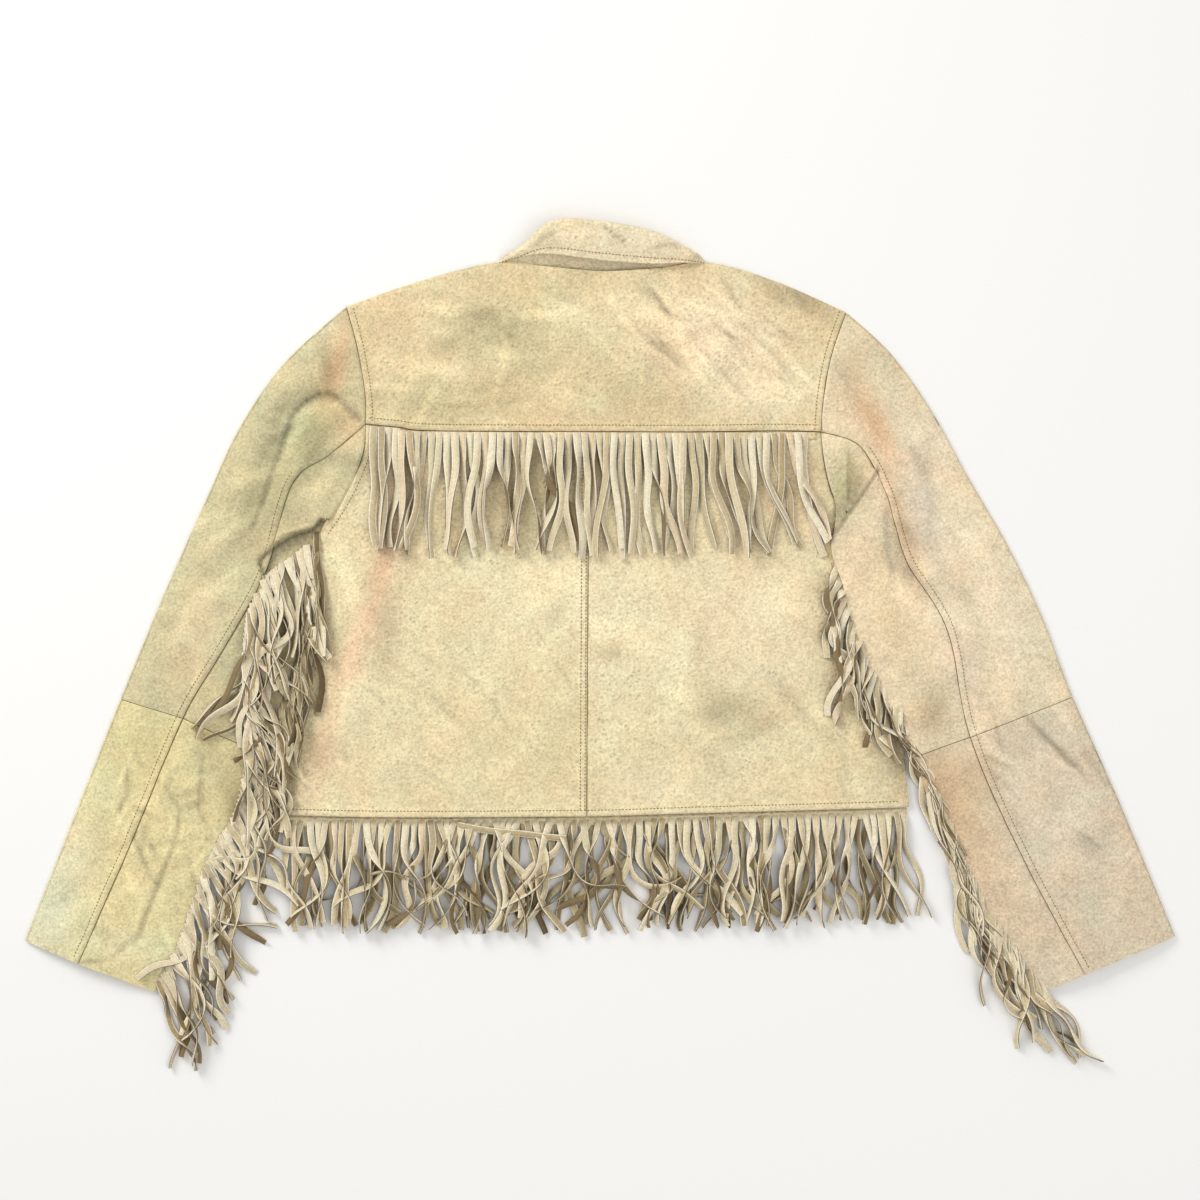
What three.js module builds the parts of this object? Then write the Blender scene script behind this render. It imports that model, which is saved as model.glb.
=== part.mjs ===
// A cropped fringed suede jacket, laid flat on a table on its front, so that its back is up.
// X runs across the jacket (wearer's left is -X), Y from hem to collar, Z up from the table.
// Every piece is a wall of suede. The front layer lies on the table and the back layer lies on it.
// Millimetres throughout.
import * as THREE from "three";

// Driving sizes.
const HIDE = 1.4; // thickness of the suede
const SEAM = 0.6; // clear width of a seam between two pieces
const GAP = 0.6; // clear height between two layers that lie on each other
const LOFT = 2.2; // how much further apart the layers are in the middle of a panel
const PINCH = 24; // how far in from a closed edge the layers take to part
const FRINGE = 2.6; // height of a row of fringe
const FRINGE_DROP = 106; // length of the yoke's fringe
const HEM_FRINGE_END = -262; // Y of the ends of the hem's fringe
const LEAF_RISE = HIDE + GAP; // how far a layer is lifted by one more layer beneath it
const OVERLAP = 15; // half the width by which the two fronts lie over each other
const CENTRE_X = 2; // X of the middle of that overlap
const FOLD_STEPS = 4; // faces round the turn of a folded edge

// Counts of faces.
const CAP = 5; // shoulder to yoke seam, along the armhole
const UNDER = 4; // yoke seam to armpit, along the armhole
const SIDE = 7; // armpit to hem
const HALF = 9; // across half the back
const FRONT = 7; // across one front

const table = (columns, rows) =>
  rows.map((row) => Object.fromEntries(columns.map((name, i) => [name, row[i]])));

// Seam lines, seen from above.
const line = (rows) => table(["x", "y"], rows).map((p) => new THREE.Vector2(p.x, p.y));
const LEFT_CAP = line([[-228, 312], [-218, 275], [-211, 235], [-210, 206]]);
const LEFT_UNDERARM = line([[-210, 206], [-213, 178], [-229, 141], [-252, 106]]);
const LEFT_SIDE = line([[-252, 106], [-248, 50], [-266, -10], [-278, -75], [-287, -145]]);
const RIGHT_CAP = line([[221, 307], [208, 269], [201, 233], [198, 199]]);
const RIGHT_UNDERARM = line([[198, 199], [201, 172], [209, 142], [222, 127]]);
const RIGHT_SIDE = line([[222, 127], [242, 100], [243, 46], [261, -16], [272, -78], [278, -138]]);
const LEFT_SHOULDER = line([[-228, 312], [-162, 335], [-90, 352]]);
const RIGHT_SHOULDER = line([[99, 351], [160, 334], [221, 307]]);
const BACK_NECK = line([[-90, 352], [-52, 348], [2, 343], [52, 346], [99, 351]]);
const YOKE_LEFT = line([[-210, 206], [-180, 203], [-150, 200], [-10, 199]]);
const YOKE_RIGHT = line([[-10, 199], [90, 199], [160, 200], [198, 199]]);
const CENTRE_BACK = line([[-10, 199], [-11, 30], [-12, -146]]);
const HEM_LEFT = line([[-287, -145], [-180, -147], [-12, -146]]);
const HEM_RIGHT = line([[-12, -146], [95, -143], [278, -138]]);

// Sections of each sleeve, armhole to cuff: its outer fold, its back seam and its underarm edge.
const SLEEVE_COLUMNS = ["foldX", "foldY", "seamX", "seamY", "innerX", "innerY"];
const LEFT_SLEEVE = {
  elbow: 5,
  sections: table(SLEEVE_COLUMNS, [
    [-228, 312, -210, 206, -252, 106],
    [-283, 262, -243, 178, -260, 88],
    [-324, 203, -276, 152, -264, 55],
    [-356, 134, -301, 71, -268, 14],
    [-392, 53, -338, 3, -284, -36],
    [-431, -41, -374, -58, -300, -92],
    [-472, -145, -421, -171, -345, -191],
    [-517, -258, -468, -278, -400, -304],
  ]),
};
const RIGHT_SLEEVE = {
  elbow: 6,
  sections: table(SLEEVE_COLUMNS, [
    [221, 307, 198, 199, 222, 127],
    [261, 270, 233, 186, 210, 110],
    [298, 218, 256, 145, 207, 92],
    [330, 160, 264, 116, 217, 62],
    [366, 98, 276, 80, 225, 30],
    [397, 34, 311, 22, 243, -18],
    [425, -39, 332, -75, 281, -93],
    [468, -136, 376, -177, 322, -208],
    [517, -254, 435, -288, 394, -306],
  ]),
};

// The reach of each sleeve's fringe: its sewn side, its free side, and whether it lies on the body.
const REACH_COLUMNS = ["sewnX", "sewnY", "freeX", "freeY"];
const LEFT_REACH = table(REACH_COLUMNS, [
  [-256, 74, -252, 74],
  [-261, 46, -253, 46],
  [-266, 12, -262, 8],
  [-281, -37, -277, -42],
  [-297, -93, -283, -96],
  [-320, -142, -291, -152],
  [-342, -193, -292, -215],
  [-371, -253, -301, -290],
  [-396, -308, -335, -360],
  [-398, -330, -360, -386],
]);
const RIGHT_REACH = table(REACH_COLUMNS, [
  [212, 64, 201, 60],
  [221, 30, 209, 22],
  [236, -14, 220, -24],
  [251, -46, 234, -64],
  [267, -84, 250, -104],
  [281, -118, 269, -130],
  [299, -170, 289, -192],
  [319, -212, 301, -252],
  [350, -258, 331, -302],
  [391, -312, 372, -348],
  [450, -352, 392, -386],
]);

// The collar, from the wearer's right front round the back to the left front. Each row is one
// section: where it is sewn to the neck, where it turns over, and its free edge.
const COLLAR = table(
  ["seamX", "seamY", "seamZ", "foldX", "foldY", "foldZ", "edgeX", "edgeY", "edgeZ"],
  [
    [6, 288, 1.8, 6, 314, 1.8, 22, 236, 1],
    [50, 306, 1.8, 40, 326, 1.8, 80, 254, 1],
    [83, 336, 1.8, 74, 347, 1.8, 116, 300, 1],
    [100, 357, 3, 109, 366, 4.6, 111, 355, 1],
    [75, 354, 5.6, 79, 371, 13, 76, 360, 12.5],
    [40, 350, 6.4, 42, 379, 19, 40, 357, 13.5],
    [-8, 347, 6.6, -10, 387, 22, -8, 358, 14.6],
    [-48, 352, 6.4, -50, 380, 21, -47, 362, 15.5],
    [-78, 356, 5.6, -81, 369, 12.5, -81, 362, 12],
    [-92, 359, 3, -100, 367, 4.6, -104, 356, 1],
    [-75, 337, 1.8, -66, 348, 1.8, -108, 302, 1],
    [-45, 307, 1.8, -34, 327, 1.8, -74, 255, 1],
    [-2, 288, 1.8, -2, 314, 1.8, -17, 236, 1],
  ],
);
const NECK_RISE = { x: 4, y: 330, reachX: 126, reachY: 106, fade: 0.3 }; // fronts that lie on the collar

const SUEDE = { color: 0xe2d1a7, roughness: 0.95, metalness: 0 };
const FRINGE_SUEDE = { color: 0xc9b88f, roughness: 0.95, metalness: 0 };

const jacket = new THREE.Group();
jacket.name = "fringed_jacket";

const smoothstep = THREE.MathUtils.smoothstep;

/** Points spaced evenly by length along a smooth line, seen from above. */
function along(points, steps) {
  return new THREE.SplineCurve(points).getSpacedPoints(steps);
}

/** Several lines in a row as one list, with no point twice. */
function chain(...lists) {
  return lists.flatMap((list, i) => (i ? list.slice(1) : list));
}

/** Each point's share of the list's length, from 0 to 1. */
function shares(points) {
  const lengths = [0];
  points.slice(1).forEach((p, i) => lengths.push(lengths[i] + p.distanceTo(points[i])));
  return lengths.map((length) => length / lengths[lengths.length - 1]);
}

/** A panel's points from its four edges, top and bottom read left to right, sides top to bottom. */
function panel({ top, bottom, left, right }) {
  const across = shares(top);
  const rowShares = shares(left);
  const last = left.length - 1;
  const end = top.length - 1;
  return left.map((_, i) =>
    top.map((_, j) => {
      const u = across[j];
      const v = rowShares[i];
      const mix = (a, b, t) => a.clone().lerp(b, t);
      const between = mix(left[i], right[i], u).add(mix(top[j], bottom[j], v));
      const corners = mix(mix(left[0], right[0], u), mix(left[last], right[last], u), v);
      if (j === 0) return left[i].clone();
      if (j === end) return right[i].clone();
      return between.sub(corners);
    }),
  );
}

/** Draws the outermost points of a grid in by half a seam, so that neighbours stay apart. */
function drawIn(grid, by = SEAM / 2) {
  const rows = grid.length;
  const columns = grid[0].length;
  const towards = (from, to) => to.clone().sub(from).setLength(by);
  return grid.map((row, i) =>
    row.map((p, j) => {
      const moved = p.clone();
      if (i === 0) moved.add(towards(p, grid[1][j]));
      if (i === rows - 1) moved.add(towards(p, grid[rows - 2][j]));
      if (j === 0) moved.add(towards(p, grid[i][1]));
      if (j === columns - 1) moved.add(towards(p, grid[i][columns - 2]));
      return moved;
    }),
  );
}

/** The closed solid between two grids of points that match, one above the other. */
function solid(upper, lower) {
  const rows = upper.length;
  const columns = upper[0].length;
  const position = [...upper.flat(), ...lower.flat()].flatMap((p) => [p.x, p.y, p.z]);
  const top = (i, j) => i * columns + j;
  const under = (i, j) => rows * columns + top(i, j);
  const index = [];
  const quad = (a, b, c, d) => index.push(a, b, c, a, c, d);
  for (let i = 0; i < rows - 1; i++) {
    for (let j = 0; j < columns - 1; j++) {
      quad(top(i, j), top(i + 1, j), top(i + 1, j + 1), top(i, j + 1));
      quad(under(i, j), under(i, j + 1), under(i + 1, j + 1), under(i + 1, j));
    }
    quad(top(i, 0), under(i, 0), under(i + 1, 0), top(i + 1, 0));
    const j = columns - 1;
    quad(top(i, j), top(i + 1, j), under(i + 1, j), under(i, j));
  }
  for (let j = 0; j < columns - 1; j++) {
    quad(top(0, j), top(0, j + 1), under(0, j + 1), under(0, j));
    const i = rows - 1;
    quad(top(i, j), under(i, j), under(i, j + 1), top(i, j + 1));
  }
  return new THREE.BufferGeometry()
    .setAttribute("position", new THREE.Float32BufferAttribute(position, 3))
    .setIndex(index);
}

function add(name, geometry, look = SUEDE) {
  const mesh = new THREE.Mesh(geometry, new THREE.MeshStandardMaterial(look));
  mesh.name = name;
  jacket.add(mesh);
}

/** A piece that lies on what `bottom(x, y)` says, `depth` thick. */
function lay(name, grid, bottom, depth = HIDE, look = SUEDE) {
  const at = (extra) =>
    grid.map((row) => row.map((p) => new THREE.Vector3(p.x, p.y, bottom(p.x, p.y) + extra)));
  add(name, solid(at(depth), at(0)), look);
}

// --- Heights -------------------------------------------------------------------------------------

/** How far a point is from the nearest of some lines, seen from above. */
function nearest(x, y, lines) {
  const point = new THREE.Vector3(x, y, 0);
  const found = new THREE.Vector3();
  let best = Infinity;
  for (const points of lines) {
    for (let i = 0; i + 1 < points.length; i++) {
      const [a, b] = [points[i], points[i + 1]];
      const piece = new THREE.Line3(new THREE.Vector3(a.x, a.y, 0), new THREE.Vector3(b.x, b.y, 0));
      piece.closestPointToPoint(point, true, found);
      best = Math.min(best, found.distanceTo(point));
    }
  }
  return best;
}

/** The clear height between two layers: least at a closed edge, and most in the middle. */
const loft = (x, y, edges) => GAP + LOFT * (1 - Math.exp(-nearest(x, y, edges) / PINCH));

const outerFold = (sleeve) => sleeve.sections.map((s) => new THREE.Vector2(s.foldX, s.foldY));
const innerEdge = (sleeve) => sleeve.sections.map((s) => new THREE.Vector2(s.innerX, s.innerY));
const BODY_EDGES = [
  LEFT_SHOULDER,
  RIGHT_SHOULDER,
  LEFT_SIDE,
  RIGHT_SIDE,
  outerFold(LEFT_SLEEVE),
  outerFold(RIGHT_SLEEVE),
];

/** How far the fronts are lifted where they lie on the collar. */
function neckRise(x, y) {
  const out = Math.hypot((x - NECK_RISE.x) / NECK_RISE.reachX, (y - NECK_RISE.y) / NECK_RISE.reachY);
  return LEAF_RISE * (1 - smoothstep(out, 1, 1 + NECK_RISE.fade));
}

/** How far a layer is lifted where the two fronts lie over each other. */
function overlapRise(x) {
  return LEAF_RISE * (1 - smoothstep(Math.abs(x - CENTRE_X), OVERLAP + 12, OVERLAP + 46));
}

const frontTop = (x, y) => neckRise(x, y) + overlapRise(x) + HIDE;
const backBottom = (x, y) => frontTop(x, y) + loft(x, y, BODY_EDGES);
const backTop = (x, y) => backBottom(x, y) + HIDE;

// --- Body ----------------------------------------------------------------------------------------

const leftCap = along(LEFT_CAP, CAP);
const leftUnderarm = along(LEFT_UNDERARM, UNDER);
const leftSide = along(LEFT_SIDE, SIDE);
const rightCap = along(RIGHT_CAP, CAP);
const rightUnderarm = along(RIGHT_UNDERARM, UNDER);
const rightSide = along(RIGHT_SIDE, SIDE);
const hemLeft = along(HEM_LEFT, HALF);
const hemRight = along(HEM_RIGHT, HALF);
const yokeLeft = along(YOKE_LEFT, HALF);
const yokeRight = along(YOKE_RIGHT, HALF);
const centreBack = along(CENTRE_BACK, UNDER + SIDE);
const yokeSeam = chain(yokeLeft, yokeRight);

const NECK_SIDE = 3; // columns of the yoke along each shoulder, out of HALF
function yokeTop() {
  const shoulderSteps = HALF - NECK_SIDE - 1;
  const neckSteps = 2 * (HALF - shoulderSteps);
  return chain(
    along(LEFT_SHOULDER, shoulderSteps),
    along(BACK_NECK, neckSteps),
    along(RIGHT_SHOULDER, shoulderSteps),
  );
}

lay(
  "back_yoke",
  drawIn(panel({ top: yokeTop(), bottom: yokeSeam, left: leftCap, right: rightCap })),
  backBottom,
);
lay(
  "back_left",
  drawIn(
    panel({ top: yokeLeft, bottom: hemLeft, left: chain(leftUnderarm, leftSide), right: centreBack }),
  ),
  backBottom,
);
lay(
  "back_right",
  drawIn(
    panel({
      top: yokeRight,
      bottom: hemRight,
      left: centreBack,
      right: chain(rightUnderarm, rightSide),
    }),
  ),
  backBottom,
);

// Each front's inner edge runs down the neck and then down the front, past the centre.
const FRONT_NECK_Y = 285;
const FRONT_NECK_STEPS = 4;
function frontEdge(side, neckX, endX, rows) {
  const neck = line([
    [neckX, 351],
    [side * 66 + CENTRE_X, 316],
    [side * 34 + CENTRE_X, 293],
    [endX, FRONT_NECK_Y],
  ]);
  const down = line([[endX, FRONT_NECK_Y], [endX, 60], [endX, -146]]);
  return chain(along(neck, FRONT_NECK_STEPS), along(down, rows - FRONT_NECK_STEPS));
}

const FRONT_ROWS = CAP + UNDER + SIDE;
lay(
  "front_left",
  drawIn(
    panel({
      top: along(LEFT_SHOULDER, FRONT),
      bottom: along(line([[-287, -145], [CENTRE_X + OVERLAP, -146]]), FRONT),
      left: chain(leftCap, leftUnderarm, leftSide),
      right: frontEdge(-1, -90, CENTRE_X + OVERLAP, FRONT_ROWS),
    }),
  ),
  (x, y) => neckRise(x, y) + overlapRise(x),
);
lay(
  "front_right",
  drawIn(
    panel({
      top: along(RIGHT_SHOULDER, FRONT),
      bottom: along(line([[CENTRE_X - OVERLAP, -146], [278, -138]]), FRONT),
      left: frontEdge(1, 99, CENTRE_X - OVERLAP, FRONT_ROWS),
      right: chain(rightCap, rightUnderarm, rightSide),
    }),
  ),
  neckRise,
);

// --- Sleeves -------------------------------------------------------------------------------------

const ROWS_PER_SECTION = 2;

/** Where a sleeve's columns are, seen from above: fold to back seam, then back seam to underarm. */
function sleevePlan(sleeve, cap, underarm) {
  const count = sleeve.sections.length - 1;
  const curve = (part) =>
    new THREE.SplineCurve(sleeve.sections.map((s) => new THREE.Vector2(s[part + "X"], s[part + "Y"])));
  const [fold, seam, inner] = ["fold", "seam", "inner"].map(curve);
  const armhole = chain(cap, underarm);
  const rows = [];
  for (let r = 0; r <= count * ROWS_PER_SECTION; r++) {
    const t = r / (count * ROWS_PER_SECTION);
    const [f, s, i] = [fold, seam, inner].map((line) => line.getPoint(t));
    const settle = Math.max(0, 1 - r / (2 * ROWS_PER_SECTION)); // how much of the armhole's curve is left
    rows.push(
      armhole.map((p, c) => {
        const inCap = c <= CAP;
        const [a, b] = inCap ? [f, s] : [s, i];
        const share = inCap ? c / CAP : (c - CAP) / UNDER;
        const [a0, b0] = inCap ? [cap[0], cap[CAP]] : [underarm[0], underarm[UNDER]];
        const bow = p.clone().sub(a0.clone().lerp(b0, share));
        return a.clone().lerp(b, share).addScaledVector(bow, settle);
      }),
    );
  }
  return rows;
}

/** Builds one sleeve: its top sleeve folds round the outer edge, and its under sleeve closes it. */
function buildSleeve(side, sleeve, cap, underarm, rest, edges) {
  const plan = sleevePlan(sleeve, cap, underarm);
  const top = (x, y) => rest(x, y) + 2 * HIDE + loft(x, y, edges);
  const radius = HIDE + GAP / 2;
  const elbowRow = sleeve.elbow * ROWS_PER_SECTION;
  const parts = { upper: plan.slice(0, elbowRow + 1), lower: plan.slice(elbowRow) };
  for (const [half, rows] of Object.entries(parts)) {
    // Upper layer, turn and lower layer of the top sleeve, as pairs of outer and inner points.
    const inset = drawIn(rows);
    const pairs = inset.map((row) => {
      const away = row[0].clone().sub(row[1]).normalize();
      const turn = row[0].clone().addScaledVector(away, -radius);
      const columns = [turn, ...row.slice(1)];
      const put = (p, z) => new THREE.Vector3(p.x, p.y, z);
      const capEnd = columns.slice(0, CAP + 1);
      capEnd[CAP] = capEnd[CAP].clone().addScaledVector(away, SEAM / 2);
      const over = capEnd.map((p) => [put(p, top(p.x, p.y)), put(p, top(p.x, p.y) - HIDE)]).reverse();
      const middle = (over[CAP][0].z + rest(turn.x, turn.y)) / 2;
      const outerRadius = over[CAP][0].z - middle;
      const round = [];
      for (let k = 1; k < FOLD_STEPS; k++) {
        const angle = Math.PI / 2 - (k * Math.PI) / FOLD_STEPS;
        const at = (r) =>
          put(turn.clone().addScaledVector(away, r * Math.cos(angle)), middle + r * Math.sin(angle));
        round.push([at(outerRadius), at(outerRadius - HIDE)]);
      }
      const below = columns.map((p) => [put(p, rest(p.x, p.y)), put(p, rest(p.x, p.y) + HIDE)]);
      return [...over, ...round, ...below];
    });
    const [outer, inner] = [0, 1].map((k) => pairs.map((row) => row.map((pair) => pair[k])));
    const facesUp = side === "right" ? [outer, inner] : [outer, inner].map((g) => g.slice().reverse());
    add(`sleeve_${side}_${half}_top`, solid(...facesUp));
    const under = drawIn(rows.map((row) => row.slice(CAP)));
    lay(`sleeve_${side}_${half}_under`, side === "right" ? under.map((r) => r.slice().reverse()) : under, (x, y) => top(x, y) - HIDE);
  }
}

const LEFT_EDGES = [outerFold(LEFT_SLEEVE), innerEdge(LEFT_SLEEVE), LEFT_SHOULDER, LEFT_SIDE];
const RIGHT_EDGES = [outerFold(RIGHT_SLEEVE), innerEdge(RIGHT_SLEEVE), RIGHT_SHOULDER];

/** The right sleeve lies over the body's side: on the body, and on a slope down to the table. */
const SLOPE = 42;
function onBody(x, y) {
  const isRaised = 1 - smoothstep(y, 142, 196);
  const edge = new THREE.SplineCurve(RIGHT_SIDE).getSpacedPoints(SIDE * 2);
  const outside = x > edgeX(edge, y);
  const away = outside ? nearest(x, y, [edge]) : 0;
  const low = 1 - smoothstep(y, -150, -110); // past the hem there is no body to lie on
  return isRaised * (1 - low) * (backTop(x, y) + GAP) * (1 - smoothstep(away, 2, SLOPE));
}

/** X of a line that runs down, at a given Y. */
function edgeX(points, y) {
  for (let i = 0; i + 1 < points.length; i++) {
    const [a, b] = [points[i], points[i + 1]];
    if (y <= a.y && y >= b.y) return a.x + ((b.x - a.x) * (a.y - y)) / Math.max(a.y - b.y, 1e-6);
  }
  return y > points[0].y ? points[0].x : points[points.length - 1].x;
}

buildSleeve("left", LEFT_SLEEVE, leftCap, leftUnderarm, () => 0, LEFT_EDGES);
buildSleeve("right", RIGHT_SLEEVE, rightCap, rightUnderarm, onBody, RIGHT_EDGES);

// --- Fringe: each row of strands is a plain solid of its reach ------------------------------------

/** A row of fringe hanging from a line of points, its ends at what `end(point)` gives. */
function hang(sewn, end, steps) {
  return Array.from({ length: steps + 1 }, (_, i) => sewn.map((p) => p.clone().lerp(end(p), i / steps)));
}

const below = (points, by) => points.map((p) => new THREE.Vector2(p.x, p.y - by));
const narrow = (points, by) => points.map((p) => new THREE.Vector2(p.x * by, p.y));
lay(
  "fringe_yoke",
  hang(narrow(below(yokeSeam, SEAM), 0.985), (p) => new THREE.Vector2(p.x, p.y - FRINGE_DROP), 4),
  (x, y) => backTop(x, y) + GAP,
  FRINGE,
  FRINGE_SUEDE,
);
const hemEnd = (p) => new THREE.Vector2(p.x * 0.99, HEM_FRINGE_END);
lay(
  "fringe_hem_back",
  hang(below(chain(hemLeft, hemRight), SEAM), hemEnd, 3),
  () => FRINGE + GAP,
  FRINGE,
  FRINGE_SUEDE,
);
const frontHems = { left: [-286, CENTRE_X - 1], right: [CENTRE_X + 1, 277] };
for (const [side, [from, to]] of Object.entries(frontHems)) {
  const hem = along(line([[from, -148.5], [to, -148.5]]), FRONT);
  lay(`fringe_hem_${side}_front`, hang(hem, hemEnd, 3), () => 0, FRINGE, FRINGE_SUEDE);
}

/** A sleeve's fringe, between its sewn side and its free side. */
function reach(rows) {
  return rows.map((row) => {
    const sewn = new THREE.Vector2(row.sewnX, row.sewnY);
    const free = new THREE.Vector2(row.freeX, row.freeY);
    return [0, 0.5, 1].map((t) => sewn.clone().lerp(free, t));
  });
}

lay("fringe_sleeve_left", reach(LEFT_REACH), () => 0, 2 * FRINGE, FRINGE_SUEDE);
lay(
  "fringe_sleeve_right",
  reach(RIGHT_REACH).map((row) => row.reverse()),
  (x, y) => Math.max(backTop(x, y) + GAP, 2 * (FRINGE + GAP)) * smoothstep(y, -235, -180),
  FRINGE,
  FRINGE_SUEDE,
);

// --- Collar --------------------------------------------------------------------------------------

/** Smooth sections through the collar's table, as a stand and the leaf that turns over it. */
function collarRows(steps) {
  const curve = (part) =>
    new THREE.CatmullRomCurve3(
      COLLAR.map((row) => new THREE.Vector3(row[part + "X"], row[part + "Y"], row[part + "Z"])),
      false,
      "centripetal",
    );
  const [seam, fold, edge] = ["seam", "fold", "edge"].map(curve);
  return Array.from({ length: steps + 1 }, (_, i) => {
    const t = i / steps;
    return { seam: seam.getPoint(t), fold: fold.getPoint(t), edge: edge.getPoint(t) };
  });
}

/** A wall through sections of points, thickened along its own normal by `depth`. */
function wall(name, sections, depth, look = SUEDE) {
  const rows = sections.length;
  const columns = sections[0].length;
  const clamp = (i, most) => Math.max(0, Math.min(most, i));
  const at = (i, j) => sections[clamp(i, rows - 1)][clamp(j, columns - 1)];
  const other = sections.map((row, i) =>
    row.map((p, j) => {
      const down = at(i + 1, j).clone().sub(at(i - 1, j));
      const across = at(i, j + 1).clone().sub(at(i, j - 1));
      return p.clone().addScaledVector(down.cross(across).normalize(), depth);
    }),
  );
  add(name, solid(other, sections), look);
}

const COLLAR_STEPS = 36;
const collar = collarRows(COLLAR_STEPS);
wall(
  "collar_stand",
  collar.map(({ seam, fold }) => {
    const most = fold.z < 10 && fold.z > 2 ? 0.4 : 0.78; // it stops short where it turns over the shoulder
    return [0.06, most / 2, most].map((t) => seam.clone().lerp(fold, t));
  }),
  HIDE * 0.7,
);
wall(
  "collar_leaf",
  collar.map(({ fold, edge }) =>
    [0.02, 0.16, 0.6, 1].map((t) => {
      const p = fold.clone().lerp(edge, t);
      const stands = smoothstep(fold.z, 5, 12); // at the back it leans on the stand, in front it lies flat
      const drop = THREE.MathUtils.lerp(Math.min(1, t * 6.3), t, stands);
      p.z = Math.max(HIDE * 0.7 + 0.02, THREE.MathUtils.lerp(fold.z, edge.z, drop));
      return p;
    }),
  ),
  HIDE * 0.7,
);

export default jacket;
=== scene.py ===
"""A cropped suede jacket with cut fringe, laid flat on its front, so that its back is up.

Sizes in this file are millimetres on the jacket, and only the meshes are in metres. X runs
across the jacket, Y from hem to collar and Z up from the table. Each piece of suede is a wall
of its own, and every strip of the fringe lies on whatever is already beneath it.
"""

import logging
import math
from collections.abc import Callable, Iterable, Sequence
from dataclasses import astuple, dataclass, field
from enum import Enum

import bmesh
import bpy
import numpy as np
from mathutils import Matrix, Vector
from mathutils.bvhtree import BVHTree

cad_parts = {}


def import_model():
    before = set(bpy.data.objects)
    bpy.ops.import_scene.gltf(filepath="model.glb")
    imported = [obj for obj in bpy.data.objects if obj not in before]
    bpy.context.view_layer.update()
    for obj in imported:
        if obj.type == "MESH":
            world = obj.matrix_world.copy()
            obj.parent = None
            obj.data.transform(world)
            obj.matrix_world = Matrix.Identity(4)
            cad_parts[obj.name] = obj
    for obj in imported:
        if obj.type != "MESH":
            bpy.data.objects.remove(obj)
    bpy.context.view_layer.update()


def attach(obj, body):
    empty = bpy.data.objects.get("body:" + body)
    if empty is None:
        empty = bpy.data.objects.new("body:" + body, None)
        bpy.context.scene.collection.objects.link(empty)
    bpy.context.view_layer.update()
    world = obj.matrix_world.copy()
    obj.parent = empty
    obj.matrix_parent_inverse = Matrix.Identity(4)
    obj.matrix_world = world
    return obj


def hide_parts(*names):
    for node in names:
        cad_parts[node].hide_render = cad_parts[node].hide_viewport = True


log = logging.getLogger("jacket")

MM = 0.001
HIDE = 1.3  # thickness of the suede
GAP = 0.6  # clear height between two layers that lie on each other
SEAM = 0.5  # clear width of a seam
BODY_LOFT = 5.0  # how much further apart the body's layers are away from its edges
SLEEVE_LOFT = 6.5
PINCH = 22.0  # how far in from a closed edge the layers take to part
BAND = 7.2  # width of a seam's turned-under allowance, which shows as a raised band
BAND_RISE = 1.0
STITCH_IN = 5.8  # how far the topstitching is from its seam
EDGE_ROWS = (0.0, 0.5, 1.2, 2.4, 4.4, 5.4, 6.2, 7.2, 8.6, 11.0)  # where a grid is fine, by an edge
OVERLAP = 15.0
CENTRE_X = 2.0
STRIP = 6.0  # width of a cut strip
RISE = HIDE + GAP  # how far a layer is lifted by one more layer beneath it

Points = Sequence[tuple[float, float]]

# Seam lines, seen from above, as in the part's own drawing.
LEFT_CAP: Points = ((-228, 312), (-218, 275), (-211, 235), (-210, 206))
LEFT_UNDERARM: Points = ((-210, 206), (-213, 178), (-229, 141), (-252, 106))
LEFT_SIDE: Points = ((-252, 106), (-248, 50), (-266, -10), (-278, -75), (-287, -145))
RIGHT_CAP: Points = ((221, 307), (208, 269), (201, 233), (198, 199))
RIGHT_UNDERARM: Points = ((198, 199), (201, 172), (209, 142), (222, 127))
RIGHT_SIDE: Points = ((222, 127), (242, 100), (243, 46), (261, -16), (272, -78), (278, -138))
LEFT_SHOULDER: Points = ((-228, 312), (-162, 335), (-90, 352))
RIGHT_SHOULDER: Points = ((99, 351), (160, 334), (221, 307))
BACK_NECK: Points = ((-90, 352), (-52, 348), (2, 343), (52, 346), (99, 351))
YOKE_LEFT: Points = ((-210, 206), (-180, 203), (-150, 200), (-10, 199))
YOKE_RIGHT: Points = ((-10, 199), (90, 199), (160, 200), (198, 199))
CENTRE_BACK: Points = ((-10, 199), (-11, 30), (-12, -146))
HEM_LEFT: Points = ((-287, -145), (-180, -147), (-12, -146))
HEM_RIGHT: Points = ((-12, -146), (95, -143), (278, -138))
YOKE: Points = (*YOKE_LEFT[:-1], *YOKE_RIGHT)
HEM: Points = (*HEM_LEFT[:-1], *HEM_RIGHT)


class Side(Enum):
    """The wearer's left or right. The left is at -X, since the back is up."""

    LEFT = "left"
    RIGHT = "right"


# --- Small tools ----------------------------------------------------------------------------------


def smooth(value: np.ndarray | float, low: float, high: float) -> np.ndarray:
    """Eases from 0 at low to 1 at high."""
    t = np.clip((np.asarray(value, float) - low) / (high - low), 0, 1)
    return t * t * (3 - 2 * t)


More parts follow.
